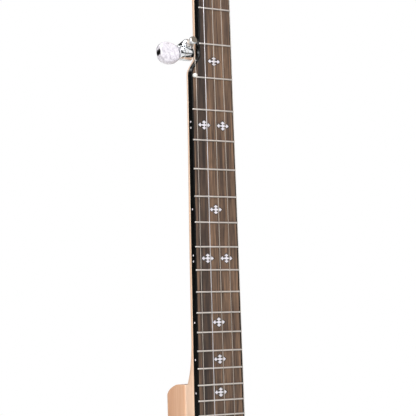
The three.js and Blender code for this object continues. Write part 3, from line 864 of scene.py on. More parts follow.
@dataclass(frozen=True)
class Board:
    """The fretboard with its binding, frets, pearl and dots."""

    scale_length: float = 667.0
    thick: float = 6.0
    end: float = 483.6
    binding: float = 1.4
    shoulder: Pair = (147.0, 164.0)
    treble_line: Pair = (21.6, 0.00553)
    four_string_line: Pair = (-10.5, -0.00606)
    five_string_line: Pair = (-19.7, -0.0105)
    fret_width: float = 1.4
    fret_height: float = 1.0
    fret_count: int = 22
    single_crosses: tuple[int, ...] = (3, 5, 10, 15, 17, 19)
    double_crosses: tuple[int, ...] = (7, 12)
    cross_lead: float = 2.5
    dot_radius: float = 0.85
    dot_spread: float = 2.6
    pair_spread: float = 9.6
    corner: float = 0.22

    def treble(self, at: float) -> float:
        """Return the first-string edge at a distance from the nut."""
        start, flare = self.treble_line
        return start + flare * at

    def bass(self, at: float) -> float:
        """Return the fifth-string edge, which steps out at the shoulder.

        Args:
            at: the distance from the nut.

        Returns:
            The edge's place across the board.
        """
        four = self.four_string_line[0] + self.four_string_line[1] * at
        five = self.five_string_line[0] + self.five_string_line[1] * (at - self.shoulder[1])
        return four + (five - four) * smooth_step(at, *self.shoulder)

    def middle(self, at: float) -> float:
        """Return the line that the crosses are set on, midway between the edges."""
        return (self.treble(at) + self.bass(at)) / 2

    def fret(self, number: int) -> float:
        """Return a fret's distance from the nut."""
        return self.scale_length * (1 - 2 ** (-number / 12))

    def between(self, number: int) -> float:
        """Return the middle of the space that a fret closes."""
        return (self.fret(number) + self.fret(number - 1)) / 2

    def stations(self) -> list[float]:
        """Return distances along the bass edge, close together at the shoulder.

        Returns:
            Distances from the nut, without the pot end.
        """
        low, high = self.shoulder
        curve = [low + (high - low) * i / 16 for i in range(17)]
        return [0.0, 50.0, 100.0, *curve, 250.0, 350.0]

    def edge(self, inset: float) -> list[Pair]:
        """Return the edge from the nut down the bass side, across and up the treble side.

        Args:
            inset: how far inside the board's outline the edge runs.

        Returns:
            Its points in X and Z.
        """
        end = self.end - inset
        points = [(self.bass(at) + inset, -at) for at in self.stations()]
        points += [(self.bass(end) + inset, -end), (self.treble(end) - inset, -end)]
        return [*points, (self.treble(0) - inset, 0.0)]

    def make_binding(self) -> None:
        """Make the black edge strip, with its outer corner scraped round."""
        ease = self.corner
        corner = [(0.0, ease), (0.08, 0.3 * ease), (0.3, 0.08 * ease), (1.0, 0.0)]
        rings = []
        for outer, inner in zip(self.edge(0), self.edge(self.binding)):
            ring = []
            for share, y in corner:
                x, z = (a + (b - a) * share * ease / self.binding for a, b in zip(outer, inner))
                ring.append((x, y, z))
            ring += [(inner[0], 0.0, inner[1]), (inner[0], self.thick, inner[1])]
            rings.append([*ring, (outer[0], self.thick, outer[1])])
        strip = Form().loft(rings).object("fretboard_binding_strip", 25)
        fit(strip, BLACK_BINDING, ROOT, ["fretboard_binding"])

    def make_fret(self, number: int) -> None:
        """Make one fret: a crowned wire over the whole board, with its ends rounded off.

        Args:
            number: the fret's number, counted from the nut.
        """
        at = self.fret(number)
        low, high = self.bass(at) + 0.1, self.treble(at) - 0.1
        if number == 5:
            low = FifthNut.x + FifthNut.radius + 0.2
        crown, fall = 9, 0.9
        rings = []
        ends = [0.0, 0.12, 0.3, 0.6, 1.0]
        stops = [low + fall * e for e in ends] + [high - fall * e for e in reversed(ends)]
        for x in stops:
            reach = clamp(min(x - low, high - x) / fall, 0, 1)
            height = self.fret_height * (0.25 + 0.75 * math.sqrt(1 - (1 - reach) ** 2))
            half = self.fret_width / 2 * (0.75 + 0.25 * math.sqrt(1 - (1 - reach) ** 2))
            ring = [(x, 0.05, -at + half), (x, 0.05, -at - half)]
            for i in range(crown + 1):
                turn = math.pi * i / crown
                ring.append((x, -height * math.sin(turn) ** 0.8, -at - half * math.cos(turn)))
            rings.append(ring)
        fit(Form().loft(rings).object(f"fret_{number:02d}", 50), FRET_WIRE)

    @staticmethod
    def arm(length: float, barb: float, half: float, stem: float) -> list[Pair]:
        """Return one spade-tipped arm of a cross, out along the first axis and back.

        Args:
            length: from the cross's middle to the tip.
            barb: how far out the spade is widest.
            half: half its width there.
            stem: half the width of the stem under it.

        Returns:
            The arm's outline.
        """
        spread = [(barb - 1.3, stem), (barb - 0.7, stem + 0.1 * half), (barb - 0.2, half * 0.8)]
        spread += [(barb, half), (barb + 0.4 * (length - barb), half * 0.55)]
        return [(a, -b) for a, b in spread] + [(length, 0.0)] + [(a, b) for a, b in reversed(spread)]

    def cross(self, x: float, at: float, grow: float = 0.0, front: float = -0.04) -> Form:
        """Return a four-pointed cross let into the board.

        Args:
            x: its middle across the board.
            at: its middle's distance from the nut.
            grow: how far its outline stands out from the pearl's.
            front: where its face lies.

        Returns:
            The cross, 0.8 mm deep.
        """
        side = self.arm(6.2 + grow, 4.0, 1.85 + 0.7 * grow, 0.36 + grow)
        upright = self.arm(4.0 + 0.9 * grow, 2.4, 2.25 + 0.6 * grow, 0.42 + grow)
        outline = side + [(-b, a) for a, b in upright]
        outline += [(-a, -b) for a, b in side] + [(b, -a) for a, b in upright]
        return Form().plate([(x + a, -at + b) for a, b in outline], front, 0.8)

    def set_cross(self, name: str, x: float, at: float) -> None:
        """Set one pearl cross, with the dark filler round it, whose line is also painted shade at the
        pearl's edge.
        """
        fit(self.cross(x, at).object(name), INLAY_PEARL)
        fit(self.cross(x, at, 1.1, -0.015).object(f"{name}_filler_and_shade"), FILLER_AND_PAINTED_SHADE)

    def make_pearl(self) -> None:
        """Make every cross on the board."""
        for number in self.single_crosses:
            at = self.between(number)
            self.set_cross(f"pearl_cross_{number:02d}", self.middle(at + self.cross_lead), at)
        for number in self.double_crosses:
            at = self.between(number)
            for side, offset in (("bass", -self.pair_spread), ("treble", self.pair_spread)):
                self.set_cross(f"pearl_cross_{number:02d}_{side}", self.middle(at) + offset, at)

    def make_dots(self) -> None:
        """Make the side dots in the binding's bass face."""
        places = [(n, self.between(n)) for n in self.single_crosses]
        for number in self.double_crosses:
            middle = self.between(number)
            places += [(number, middle + self.dot_spread), (number, middle - self.dot_spread)]
        for index, (number, at) in enumerate(sorted(places, key=lambda p: p[1])):
            dome = [(self.dot_radius, -0.6), (self.dot_radius, 0.03), (self.dot_radius * 0.6, 0.08)]
            form = Form().turn(dome, 20).move(Matrix.Rotation(math.pi / 2, 4, "Z"))
            form.move(Matrix.Translation((self.bass(at), self.thick / 2, -at)))
            fit(form.object(f"side_dot_{index + 1:02d}"), INLAY_PEARL)

    def build(self) -> None:
        """Build the board's pieces in order."""
        keep("fretboard", ROSEWOOD)
        self.make_binding()
        for number in range(1, self.fret_count + 1):
            self.make_fret(number)
        self.make_pearl()
        self.make_dots()


@dataclass(frozen=True)
class Nut:
    """The bone nut at the peghead end, slotted for four strings."""

    thick: float = 4.9
    top: float = -2.6
    slot: float = -2.2
    slot_half: float = 0.36

    def build(self) -> None:
        """Build the nut with its slots cut in."""
        board = Board()
        profile = [(board.thick, 0.0), (self.top, 0.0), (self.top, 1.8)]
        profile += [(self.top + 0.5, 3.4), (self.top + 2.0, self.thick), (board.thick, self.thick)]
        block = Form().side_plate(profile, board.bass(0), board.treble(0)).bevel(0.35)
        slots = []
        for course in Strings.courses:
            low, high = course.nut - self.slot_half, course.nut + self.slot_half
            floor = [(course.nut, self.slot, z) for z in (-2, 8)]
            slots.append(Form().tube(floor, self.slot_half, 10))
            slots.append(Form().plate([(low, -2), (high, -2), (high, 8), (low, 8)], -5, self.slot))
        fit(carve("slotted_nut", [block], slots), BONE, ROOT, ["nut"])


@dataclass(frozen=True)
class FifthNut:
    """The small round nut that carries the fifth string."""

    x: float = -16.8
    at: float = 166.0
    radius: float = 1.85
    top: float = -2.4
    dome: float = 0.9

    def build(self) -> None:
        """Build the round nut with a domed top."""
        edge = self.top + self.dome
        profile = [(self.radius, 1.0), (self.radius, edge)]
        profile += arc((self.radius - self.dome, edge), self.dome, 0, -80, 5)
        form = Form().turn(profile, 32).move(Matrix.Translation((self.x, 0, -self.at)))
        fit(form.object("round_fifth_nut", 50), BONE, ROOT, ["fifth_string_nut"])


# --------------------------------------------------------------------------- neck


@dataclass(frozen=True)
class Peghead:
    """The peghead: its outline, its face and what is screwed to it."""

    tilt: float = 13.0
    origin: Point = (4.9, 1.5, 5.0)
    overlay: float = 2.0
    wood: float = 13.0
    start: float = 0.8
    side: tuple[Pair, ...] = (
        (16.2, 0.8), (17.5, 10), (22, 19), (30, 27), (34.5, 35), (36, 45), (35.2, 58), (33, 74),
        (31.8, 90), (32.5, 106), (35, 122), (36.5, 136), (35, 148), (29, 156), (21, 157.5),
        (13, 160), (6, 164), (0, 165),
    )
    post_out: float = 22.0
    post_reach: Pair = (48.0, 112.0)
    pearls: tuple[Pair, ...] = ((136.0, 1.9), (82.0, 1.25))
    cover_x: float = -1.8
    cover_front: float = -1.6
    cover_side: tuple[Pair, ...] = ((8, 1.5), (8.2, 10), (7.6, 19), (4.2, 27.5), (0, 32))
    cover_screws: Pair = (5.0, 26.0)

    def place(self) -> Matrix:
        """Return the matrix from the peghead's own frame, whose face is Y = 0."""
        return Matrix.Translation(self.origin) @ Matrix.Rotation(math.radians(-self.tilt), 4, "X")

    def outline(self) -> list[Pair]:
        """Return the smooth outline, the same on both sides."""
        right = rounded(self.side, 4)
        return right + [(-half, at) for half, at in reversed(right[:-1])]

    def holes(self, radius: float) -> list[Form]:
        """Return cutters for the four posts.

        Args:
            radius: the holes' radius.

        Returns:
            The four cutters.
        """
        forms = []
        for side in (-1, 1):
            for reach in self.post_reach:
                form = Form().turn([(radius, -6), (radius, 30)], 24)
                forms.append(form.move(Matrix.Translation((side * self.post_out, 0, reach))))
        return forms

    def build(self) -> None:
        """Build the overlay, its pearl, the truss rod cover and its screws."""
        place = self.place()
        face = Form().plate(self.outline(), 0, self.overlay).bevel(0.4, 2, 50)
        holes = [hole.move(place) for hole in self.holes(4.9)]
        fit(carve("peghead_face", [face.move(place)], holes), ROSEWOOD, ROOT, ["peghead_overlay"])
        for index, (reach, scale) in enumerate(self.pearls):
            cross = Board().cross(0, 0).move(Matrix.Diagonal((scale, 1, scale, 1)))
            cross.move(place @ Matrix.Translation((0, 0, reach)))
            fit(cross.object(f"peghead_pearl_{index + 1}"), INLAY_PEARL)
        self.make_cover(place)

    def make_cover(self, place: Matrix) -> None:
        """Make the cover over the truss rod's nut, with two screws.

        Args:
            place: the matrix from the peghead's own frame.
        """
        x, front = self.cover_x, self.cover_front
        half = rounded(self.cover_side, 4)
        outline = [(x + a, z) for a, z in half] + [(x - a, z) for a, z in reversed(half[:-1])]
        cover = Form().plate(outline, front, -0.05).bevel(0.4, 2, 50).move(place)
        fit(cover.object("truss_rod_cover_plate"), BLACK_BINDING, ROOT, ["truss_rod_cover"])
        for index, z in enumerate(self.cover_screws):
            screw = slotted_screw(1.9, 0.9).move(place @ Matrix.Translation((x, front, z)))
            fit(screw.object(f"cover_screw_{index + 1}"), NICKEL)


def slotted_screw(radius: float, height: float) -> Form:
    """Return a domed screw head about Y, facing -Y, with a slot across it.

    Args:
        radius: the head's radius.
        height: how far it stands out.

    Returns:
        The head, with its seat at Y = 0.
    """
    dome = [(radius, 0.3), (radius, -0.1), (radius * 0.9, -height * 0.6), (radius * 0.5, -height)]
    form = Form().turn(dome, 24)
    slot = radius * 0.16
    for vertex in form.mesh.verts:
        if abs(vertex.co.x) < slot * 2.2 and vertex.co.y < -0.05:
            vertex.co.y += height * 0.55
    return form


@dataclass(frozen=True)
class Neck:
    """The maple neck: shaft, heel and the peghead's wood."""

    lip: float = 0.3
    depth: float = 13.0
    flare_from: float = 394.0
    flare_length: float = 37.0
    flare_depth: float = 14.5
    heel_start: float = 431.0
    heel_half: float = 17.5
    heel_back: float = 61.0
    heel_corner: float = 5.0
    shoulder_depth: float = 26.0
    shoulder_drop: float = 17.0
    block_from: float = 26.0
    end: float = 495.0
    seat_gap: float = 0.3
    heel_side: tuple[Pair, ...] = (
        (0.1, 6), (0.1, 8), (0.6, 13), (1.6, 18), (3.2, 23), (3.9, 25.5), (3.1, 27), (2.9, 31), (3.7, 42),
    )

    def depth_at(self, at: float) -> float:
        """Return the shaft's depth behind its lip, flared quickly into the heel."""
        flare = max(0.0, at - self.flare_from) / self.flare_length
        return self.depth + smooth_step(at, *Board.shoulder) + self.flare_depth * flare**2

    def section(self, at: float, top: float, depth: float, bass_full: float) -> list[Point]:
        """Return one cross-section of the shaft: flat in front, rounded behind.

        Args:
            at: the distance from the nut.
            top: the depth of its flat face.
            depth: how deep it is behind its lip.
            bass_full: over 1 makes the bass side hollow in, as beside the fifth tuner.

        Returns:
            The section's points, from the bass edge round the back to the treble edge.
        """
        board = Board()
        low, high = board.bass(max(0, at)), board.treble(max(0, at))
        middle, half = (low + high) / 2, (high - low) / 2
        sides = 40
        points = [(low, top, -at)]
        for i in range(sides + 1):
            turn = math.pi * i / sides
            power = bass_full if turn < math.pi / 2 else 1
            across = math.copysign(abs(math.cos(turn)) ** power, math.cos(turn))
            points.append((middle - half * across, top + self.lip + depth * math.sin(turn), -at))
        points.append((high, top, -at))
        return points

    def shaft(self) -> Form:
        """Return the shaft, from behind the nut to just inside the heel.

        Returns:
            The shaft, without the heel block.
        """
        thick = Board.thick
        rings = []
        for at in (-26, -22, -18, -14, -10, -7, -5, -2, 0):
            share = smooth_step(-at, 4, 27)
            top = thick + 4.5 * smooth_step(-at, 8, 27)
            rings.append(self.section(at, top, self.depth - 4.4 * share, 1))
        for at in range(15, 141, 25):
            rings.append(self.section(at, thick, self.depth, 1))
        low, high = Board.shoulder
        curve = [low + (high - low) * i / 16 for i in range(17)]
        flare = [self.flare_from + 2.5 * i for i in range(16)]
        for at in (*curve, 176, 190, 210, 235, 260, 290, 320, 350, 375, *flare):
            wing = smooth_step(at, low, high) * (1 - smooth_step(at, 180, 320))
            rings.append(self.section(at, thick, self.depth_at(at), 1 + 0.6 * wing))
        return Form().loft(rings)

    def heel_section(self, ease: float) -> list[Pair]:
        """Return the heel in X and Y, its sides grooved where the shaft meets the block.

        Args:
            ease: how far the sides are drawn in, for the eased edge at the heel's end.

        Returns:
            The section's points, from the bass edge round the back to the treble edge.
        """
        board = Board()
        low, high = board.bass(self.heel_start), board.treble(self.heel_start)
        half, back, corner = self.heel_half - ease, self.heel_back, self.heel_corner
        side = [*rounded(self.heel_side[1:], 3)]
        bass = [(low + 0.1, 6.0), *[(low + a + ease, y) for a, y in side]]
        treble = [(high - 0.1, 6.0), *[(high - a - ease, y) for a, y in side]]
        return [
            *bass,
            *arc((-half + corner, back - corner), corner, 180, 90, 6),
            *arc((half - corner, back - corner), corner, 90, 0, 6),
            *reversed(treble),
        ]

    def heel(self) -> Form:
        """Return the heel block, with its shoulder rounded off towards the back.

        Returns:
            The heel, from its shoulder to well inside the rim.
        """
        rings = []
        steps = [self.shoulder_drop * (1 - math.cos(math.radians(a))) for a in range(0, 91, 5)]
        for step in [*steps, 30.0, self.end - self.heel_start]:
            share = clamp(1 - step / self.shoulder_drop, 0, 1)
            limit = self.heel_back - self.shoulder_depth * (1 - math.sqrt(1 - share**2))
            ease = 0.7 * clamp(1 - step / 1.2, 0, 1) ** 2
            ring = [(x, min(y, limit), -self.heel_start - step) for x, y in self.heel_section(ease)]
            rings.append(ring)
        return Form().loft(rings)

    @staticmethod
    def slab(front: float, back: float, top: float) -> Form:
        """Return a cutter over the whole heel, between two depths and below a height."""
        return Form().plate([(-40, -520), (40, -520), (40, top), (-40, top)], front, back)

    def build(self) -> None:
        """Build the neck and the block under it for the heel, whose darker maple is painted shade on the
        heel's side.
        """
        peghead = Peghead()
        back = peghead.overlay + peghead.wood
        wood = Form().plate(peghead.outline(), peghead.overlay + 0.1, back).bevel(1.2, 3, 50)
        wood.move(peghead.place())
        rim_radius, hoop_radius = Pot.rim_outer + self.seat_gap, Pot.hoop_outer + self.seat_gap
        rim = Form().turn([(rim_radius, 19), (rim_radius, 90)], 160)
        hoop = Form().turn([(hoop_radius, -20), (hoop_radius, 19 + self.seat_gap)], 160)
        centre = Matrix.Translation((0, 0, -Pot.centre))
        seat = Form().plate([(-40, -60), (40, -60), (40, 4.95), (-40, 4.95)], -20, 6)
        shank = Form().turn([(3.05, -20), (3.05, -1)], 24).swap("X")
        shank.move(Matrix.Translation((0, FifthTuner.origin[1], FifthTuner.origin[2])))
        seats = [rim.move(centre), hoop.move(centre)]
        behind = self.slab(self.block_from, 70.0, -self.heel_start - 0.04)
        cutters = [*(form.copy() for form in seats), seat, shank, behind]
        cutters += [h.move(peghead.place()) for h in peghead.holes(4.95)]
        solids = [self.shaft(), self.heel(), wood]
        fit(carve("maple_neck", solids, cutters, 38), MAPLE, ROOT, ["neck"])
        before = self.slab(-10.0, self.block_from, -400.0)
        # The heel block is painted a deeper tan: painted shade on the heel's side.
        fit(carve("heel_block", [self.heel()], [*seats, before], 38), HEEL_MAPLE_PAINTED_SHADE)
        keep("truss_rod", STEEL)


# --------------------------------------------------------------------------- tuners


def post_form(top: float, waist: float, foot: float, base: float) -> Form:
    """Return a string post about Y: a domed cap, a waist for the string and a round base.

    Args:
        top: the end of its cap.
        waist: its radius.
        foot: how deep it goes.
        base: where the round base begins.

    Returns:
        The post.
    """
    cap = waist + 0.6
    profile = [(waist * 0.4, top), (cap - 0.6, top), (cap, top + 0.6), (cap, top + 2)]
    neck = waist - 0.5
    hollow = [(waist + 0.1, top + 2.9), (neck, top + 4.4), (neck, top + 7.6), (waist, top + 9.4)]
    profile += rounded(hollow, 4)
    profile += [(waist, base), (waist, foot)]
    return Form().turn(profile, 32)


BUTTON_LENGTH = 18.8
# The button's half width at each distance from its shaft.
BUTTON_SIDE = (
    (0, 4.6), (0.25, 5.6), (1.0, 6.7), (4, 8.7), (9, 9.9), (13, 9.6), (16, 8.4), (17.9, 6.6), (18.6, 5.4),
    (BUTTON_LENGTH, 4.4),
)


def button_form(inner: float) -> Form:
    """Return a pearl button along X: a flat oval, nearly square at its shaft.

    Args:
        inner: where it starts along X.

    Returns:
        The button, with its ends rounded over.
    """
    rings = []
    for reach, half in rounded(BUTTON_SIDE, 3):
        ends = min(1.0, min(reach, BUTTON_LENGTH - reach) / 1.2)
        thick = 3.3 + 0.75 * math.sqrt(max(0.0, 1 - (1 - ends) ** 2))
        ring = []
        for i in range(48):
            turn = 2 * math.pi * i / 48
            y = math.copysign(abs(math.cos(turn)) ** 0.5, math.cos(turn)) * thick
            z = math.copysign(abs(math.sin(turn)) ** 0.72, math.sin(turn)) * half
            ring.append((inner + reach, y, z))
        rings.append(ring)
    return Form().loft(rings)


def worm_form(inner: float, outer: float) -> Form:
    """Return the worm shaft along X, cut with its thread at the inner end.

    Args:
        inner: where it starts.
        outer: where it ends, inside the button.

    Returns:
        The shaft.
    """
    profile = [(1.9, inner)]
    for i in range(8):
        start = inner + 0.4 + i * 1.05
        profile += [(1.75, start), (2.25, start + 0.3), (2.25, start + 0.6), (1.75, start + 0.9)]
    profile += [(1.65, inner + 9.4), (1.65, outer - 0.3), (1.4, outer)]
    return Form().turn(profile, 28).swap("X")


def collar_form(start: float) -> Form:
    """Return the turned collar on a worm shaft, between the housing and the button."""
    profile = [(1.6, start), (2.9, start), (3.2, start + 0.3), (3.2, start + 1.7), (2.9, start + 2.0)]
    return Form().turn([*profile, (2.0, start + 2.4), (1.6, start + 2.4)], 32).swap("X")


def winding_form(radius: float, low: float, high: float, wire: float, turns: int, start: float) -> Form:
    """Return the string's turns round a post about Y, ending where the straight run leaves.

    Args:
        radius: from the post's axis to the string's middle.
        low: where the first turn lies along Y.
        high: where the last turn lies.
        wire: the string's radius.
        turns: how many turns there are.
        start: the angle at which the straight run leaves.

    Returns:
        The turns.
    """
    steps = 22
    path = []
    for i in range(turns * steps + 1):
        angle = start - 2 * math.pi * i / steps
        y = high + (low - high) * i / (turns * steps)
        path.append((radius * math.sin(angle), y, radius * math.cos(angle)))
    return Form().tube(path, wire, 8)


@dataclass(frozen=True)
class Tuner:
    """One geared tuner on the back of the peghead."""

    number: int
    side: int
    reach: float
    worm_offset: float = 6.4
    worm_depth: float = 20.6
    post_radius: float = 3.0
    post_top: float = -16.0
    wound: Pair = (7.9, 5.6)

    def place(self) -> Matrix:
        """Return the matrix from the tuner's own frame, on the post's axis.

        Returns:
            The matrix, mirrored by a half turn for the bass side.
        """
        peghead = Peghead()
        seat = Matrix.Translation((self.side * peghead.post_out, 0, self.reach))
        turn = Matrix.Rotation(math.pi, 4, "Y") if self.side < 0 else Matrix.Identity(4)
        return peghead.place() @ seat @ turn

    def make_housing(self, place: Matrix) -> None:
        """Make the cast housing, its spout, its foot and the screw in it.

        Args:
            place: the matrix from the tuner's own frame.
        """
        back = Peghead.overlay + Peghead.wood + 0.1
        outline = [(-7.2, -6.8), (12.4, -6.8), (12.4, 12.2), (-7.2, 12.2)]
        body = Form().plate(outline, back, back + 11.2).bevel(2.6, 4)
        foot = Form().plate([(-6, -13.5), (4, -13.5), (4, 0), (-6, 0)], back, back + 2.2).bevel(0.9, 3)
        spout = Form().turn([(3.6, 10), (3.6, 13.2), (3.2, 13.8)], 28).swap("X")
        spout.move(Matrix.Translation((0, self.worm_depth, self.worm_offset)))
        cup = Form().turn([(5.6, back + 9), (5.6, back + 11.9), (5.0, back + 12.5), (3.0, back + 12.7)], 32)
        solids = [form.move(place) for form in (body, foot, spout, cup)]
        name = f"tuner_{self.number}"
        fit(carve(f"{name}_cast_housing", solids, (), 40), CHROME, ROOT, [f"{name}_housing"])
        turned = Matrix.Rotation(math.pi, 4, "X")
        screw = slotted_screw(2.0, 1.1).move(place @ Matrix.Translation((-1, back + 2.2, -10.4)) @ turned)
        fit(screw.object(f"{name}_foot_screw"), CHROME)

    def make_bushing(self, place: Matrix) -> None:
        """Make the washer and the threaded bushing on the peghead's face.

        Args:
            place: the matrix from the tuner's own frame.
        """
        profile = [(3.35, 1.0), (3.35, -3.6), (4.4, -3.6), (4.9, -3.1), (4.9, -1.0)]
        profile += [(7.2, -1.0), (7.7, -0.6), (7.7, -0.05), (4.8, -0.05), (4.8, 1.0)]
        form = Form().turn(profile, 40, endless=True).move(place)
        fit(form.object(f"tuner_{self.number}_bushing"), CHROME)

    def build(self) -> None:
        """Build the tuner's pieces on their bodies."""
        place = self.place()
        name = f"tuner_{self.number}"
        knob, post = f"knob_{self.number}", f"post_{self.number}"
        self.make_housing(place)
        self.make_bushing(place)
        shaft = Matrix.Translation((0, self.worm_depth, self.worm_offset))
        worm = worm_form(-5, 30).move(place @ shaft).object(f"{name}_worm_shaft")
        fit(worm, CHROME, knob, [f"{name}_worm"])
        fit(collar_form(14).move(place @ shaft).object(f"{name}_worm_collar"), CHROME, knob)
        pearl = button_form(17.5).move(place @ shaft)
        fit(pearl.object(f"{name}_pearl_button", 60), PEARLOID, knob, [f"{name}_button"])
        # The button's screw head is painted nearly black: painted shade in its recess.
        head = slotted_screw(2.2, 1.0).move(Matrix.Rotation(math.pi / 2, 4, "Z"))
        head.move(place @ shaft @ Matrix.Translation((36.2, 0, 0)))
        fit(head.object(f"{name}_button_screw"), DARK_STEEL_PAINTED_SHADE, knob)
        pillar = post_form(self.post_top, self.post_radius, 20, -2).move(place)
        fit(pillar.object(f"{name}_string_post"), CHROME, post, [f"{name}_post"])
        course = Strings.courses[self.number - 1]
        low, high = (self.post_top + along for along in self.wound)
        coil = winding_form(2.5 + course.wire, low, high, course.wire, 4, -math.pi / 2)
        fit(coil.move(place).object(f"{name}_string_turns", 60), course.finish, post)


@dataclass(frozen=True)
class FifthTuner:
    """The fifth string's tuner: a chromed barrel in the neck's side, its post set across it."""

    origin: Point = (-12.8, 11.6, -145.0)
    tilt: float = 14.0
    post_out: float = 5.7
    post_up: float = 5.5
    worm_up: float = -1.2
    barrel: float = 6.3
    barrel_length: float = 13.4
    post_top: float = -17.0
    wound: Pair = (-9.6, -11.5)

    def place(self) -> Matrix:
        """Return the matrix from the tuner's own frame, at the neck's side."""
        return Matrix.Translation(self.origin) @ Matrix.Rotation(math.radians(-self.tilt), 4, "X")

    def build(self) -> None:
        """Build the tuner's pieces on their bodies."""
        place = self.place()
        r, end = self.barrel, self.barrel_length
        outward = Matrix.Rotation(math.pi / 2, 4, "Z")
        profile = [(r * 0.9, 0.1), (r, 0.5), (r, 8.6), (r - 0.45, 8.9), (r - 0.45, 9.5), (r, 9.8)]
        profile += [(r, end - 0.9), (r - 0.3, end - 0.3), (r - 0.9, end), (2.6, end)]
        barrel = Form().turn(profile, 56).move(outward)
        shank = Form().turn([(2.95, -10), (2.95, 1)], 24).move(outward)
        boss_profile = [(4.8, 6), (5.2, 5.4), (5.2, -4.6), (5.25, -5.0), (5.25, -6.3)]
        boss_profile += [(4.6, -6.9), (3.1, -6.9)]
        boss = Form().turn(boss_profile, 48).move(Matrix.Translation((-self.post_out, 0, self.post_up)))
        solids = [form.move(place) for form in (barrel, shank, boss)]
        fit(carve("tuner_5_barrel_housing", solids, (), 30), CHROME, ROOT, ["tuner_5_housing"])
        shaft = Matrix.Translation((0, 0, self.worm_up)) @ Matrix.Rotation(math.pi, 4, "Z")
        worm = worm_form(2.6, 27).move(place @ shaft).object("tuner_5_worm_shaft")
        fit(worm, CHROME, "knob_5", ["tuner_5_worm"])
        pearl = button_form(end + 0.5).move(place @ shaft)
        fit(pearl.object("tuner_5_pearl_button", 60), PEARLOID, "knob_5", ["tuner_5_button"])
        # The button's screw head is painted nearly black: painted shade in its recess.
        head = slotted_screw(3.2, 0.5).move(Matrix.Rotation(math.pi / 2, 4, "Z"))
        head.move(place @ shaft @ Matrix.Translation((end + 0.5 + 18.7, 0, 0)))
        fit(head.object("tuner_5_button_screw"), DARK_STEEL_PAINTED_SHADE, "knob_5")
        axis = Matrix.Translation((-self.post_out, 0, self.post_up))
        pillar = post_form(self.post_top, 2.9, 2.9, -3).move(place @ axis)
        collar = Form().turn([(3.9, -7.0), (4.2, -7.2), (4.2, -7.8), (3.9, -8.0), (2.8, -8.1)], 32)
        joined = carve("tuner_5_string_post", [pillar, collar.move(place @ axis)], (), 40)
        fit(joined, CHROME, "post_5", ["tuner_5_post"])
        top = self.post_top
        # The post's end is painted a dull warm grey: a painted reflection on the chromed end.
        reflected_end = Form().turn([(3.0, top + 0.3), (2.9, top - 0.02), (1.2, top - 0.04)], 40).move(place @ axis)
        fit(reflected_end.object("tuner_5_post_end"), DULL_NICKEL_PAINTED_REFLECTION, "post_5")
        course = Strings.fifth
        coil = winding_form(2.4 + course.wire, *self.wound, course.wire, 4, math.pi / 2)
        fit(coil.move(place @ axis).object("tuner_5_string_turns", 60), course.finish, "post_5")


# --------------------------------------------------------------------------- strings


@dataclass(frozen=True)
class Course:
    """One string: where it crosses the nut and the bridge, its wire and its finish."""

    number: int
    nut: float
    bridge: float
    wire: float
    finish: Finish
    side: int = 0
    reach: float = 0.0


@dataclass(frozen=True)
class Strings:
    """The five strings under tension."""

    courses = (
        Course(1, 19.3, 21.6, 0.24, PLAIN_WIRE, 1, 48),
        Course(2, 10.8, 10.8, 0.25, PLAIN_WIRE, 1, 112),
        Course(3, 2.1, 0.0, 0.28, PLAIN_WIRE, -1, 112),
        Course(4, -6.7, -10.8, 0.36, WOUND_WIRE, -1, 48),
    )
    fifth = Course(5, -16.8, -21.6, 0.24, PLAIN_WIRE)
    over_nut: float = -2.2
    over_bridge: float = -6.8
    bridge_at: float = 669.0
    tail_at: float = 726.4
    tail_share: float = 0.92

    def tail(self, course: Course) -> list[Point]:
        """Return the run over the bridge and down to the tailpiece."""
        x, y, z = course.bridge, self.over_bridge + course.wire, -self.bridge_at
        return [(x, y, z + 1.2), (x, y, z - 1.2), (x * self.tail_share, 2.2, -self.tail_at)]

    def build(self) -> None:
        """Build the strings from their posts to the tailpiece."""
        place = Peghead().place()
        for course in self.courses:
            inner = Peghead.post_out - 2.5 - course.wire
            start = place @ Vector((course.side * inner, Tuner.post_top + Tuner.wound[1], course.reach))
            path = [tuple(start), (course.nut, self.over_nut, 2.2), (course.nut, self.over_nut, -0.2)]
            self.make(course, path + self.tail(course))
        tuner = FifthTuner()
        out = 2.4 + self.fifth.wire - tuner.post_out
        start = tuner.place() @ Vector((out, tuner.wound[1], tuner.post_up))
        nut = (FifthNut.x, FifthNut.top - self.fifth.wire, -FifthNut.at)
        self.make(self.fifth, [tuple(start), nut, *self.tail(self.fifth)])

    @staticmethod
    def make(course: Course, path: Sequence[Point]) -> None:
        """Make one string along its path.

        Args:
            course: the string.
            path: the points that it passes, from the tuner to the tail.
        """
        form = Form().tube(path, course.wire, 10)
        wire = form.object(f"string_{course.number}_wire", 60)
        fit(wire, course.finish, ROOT, [f"string_{course.number}"])


# --------------------------------------------------------------------------- pot


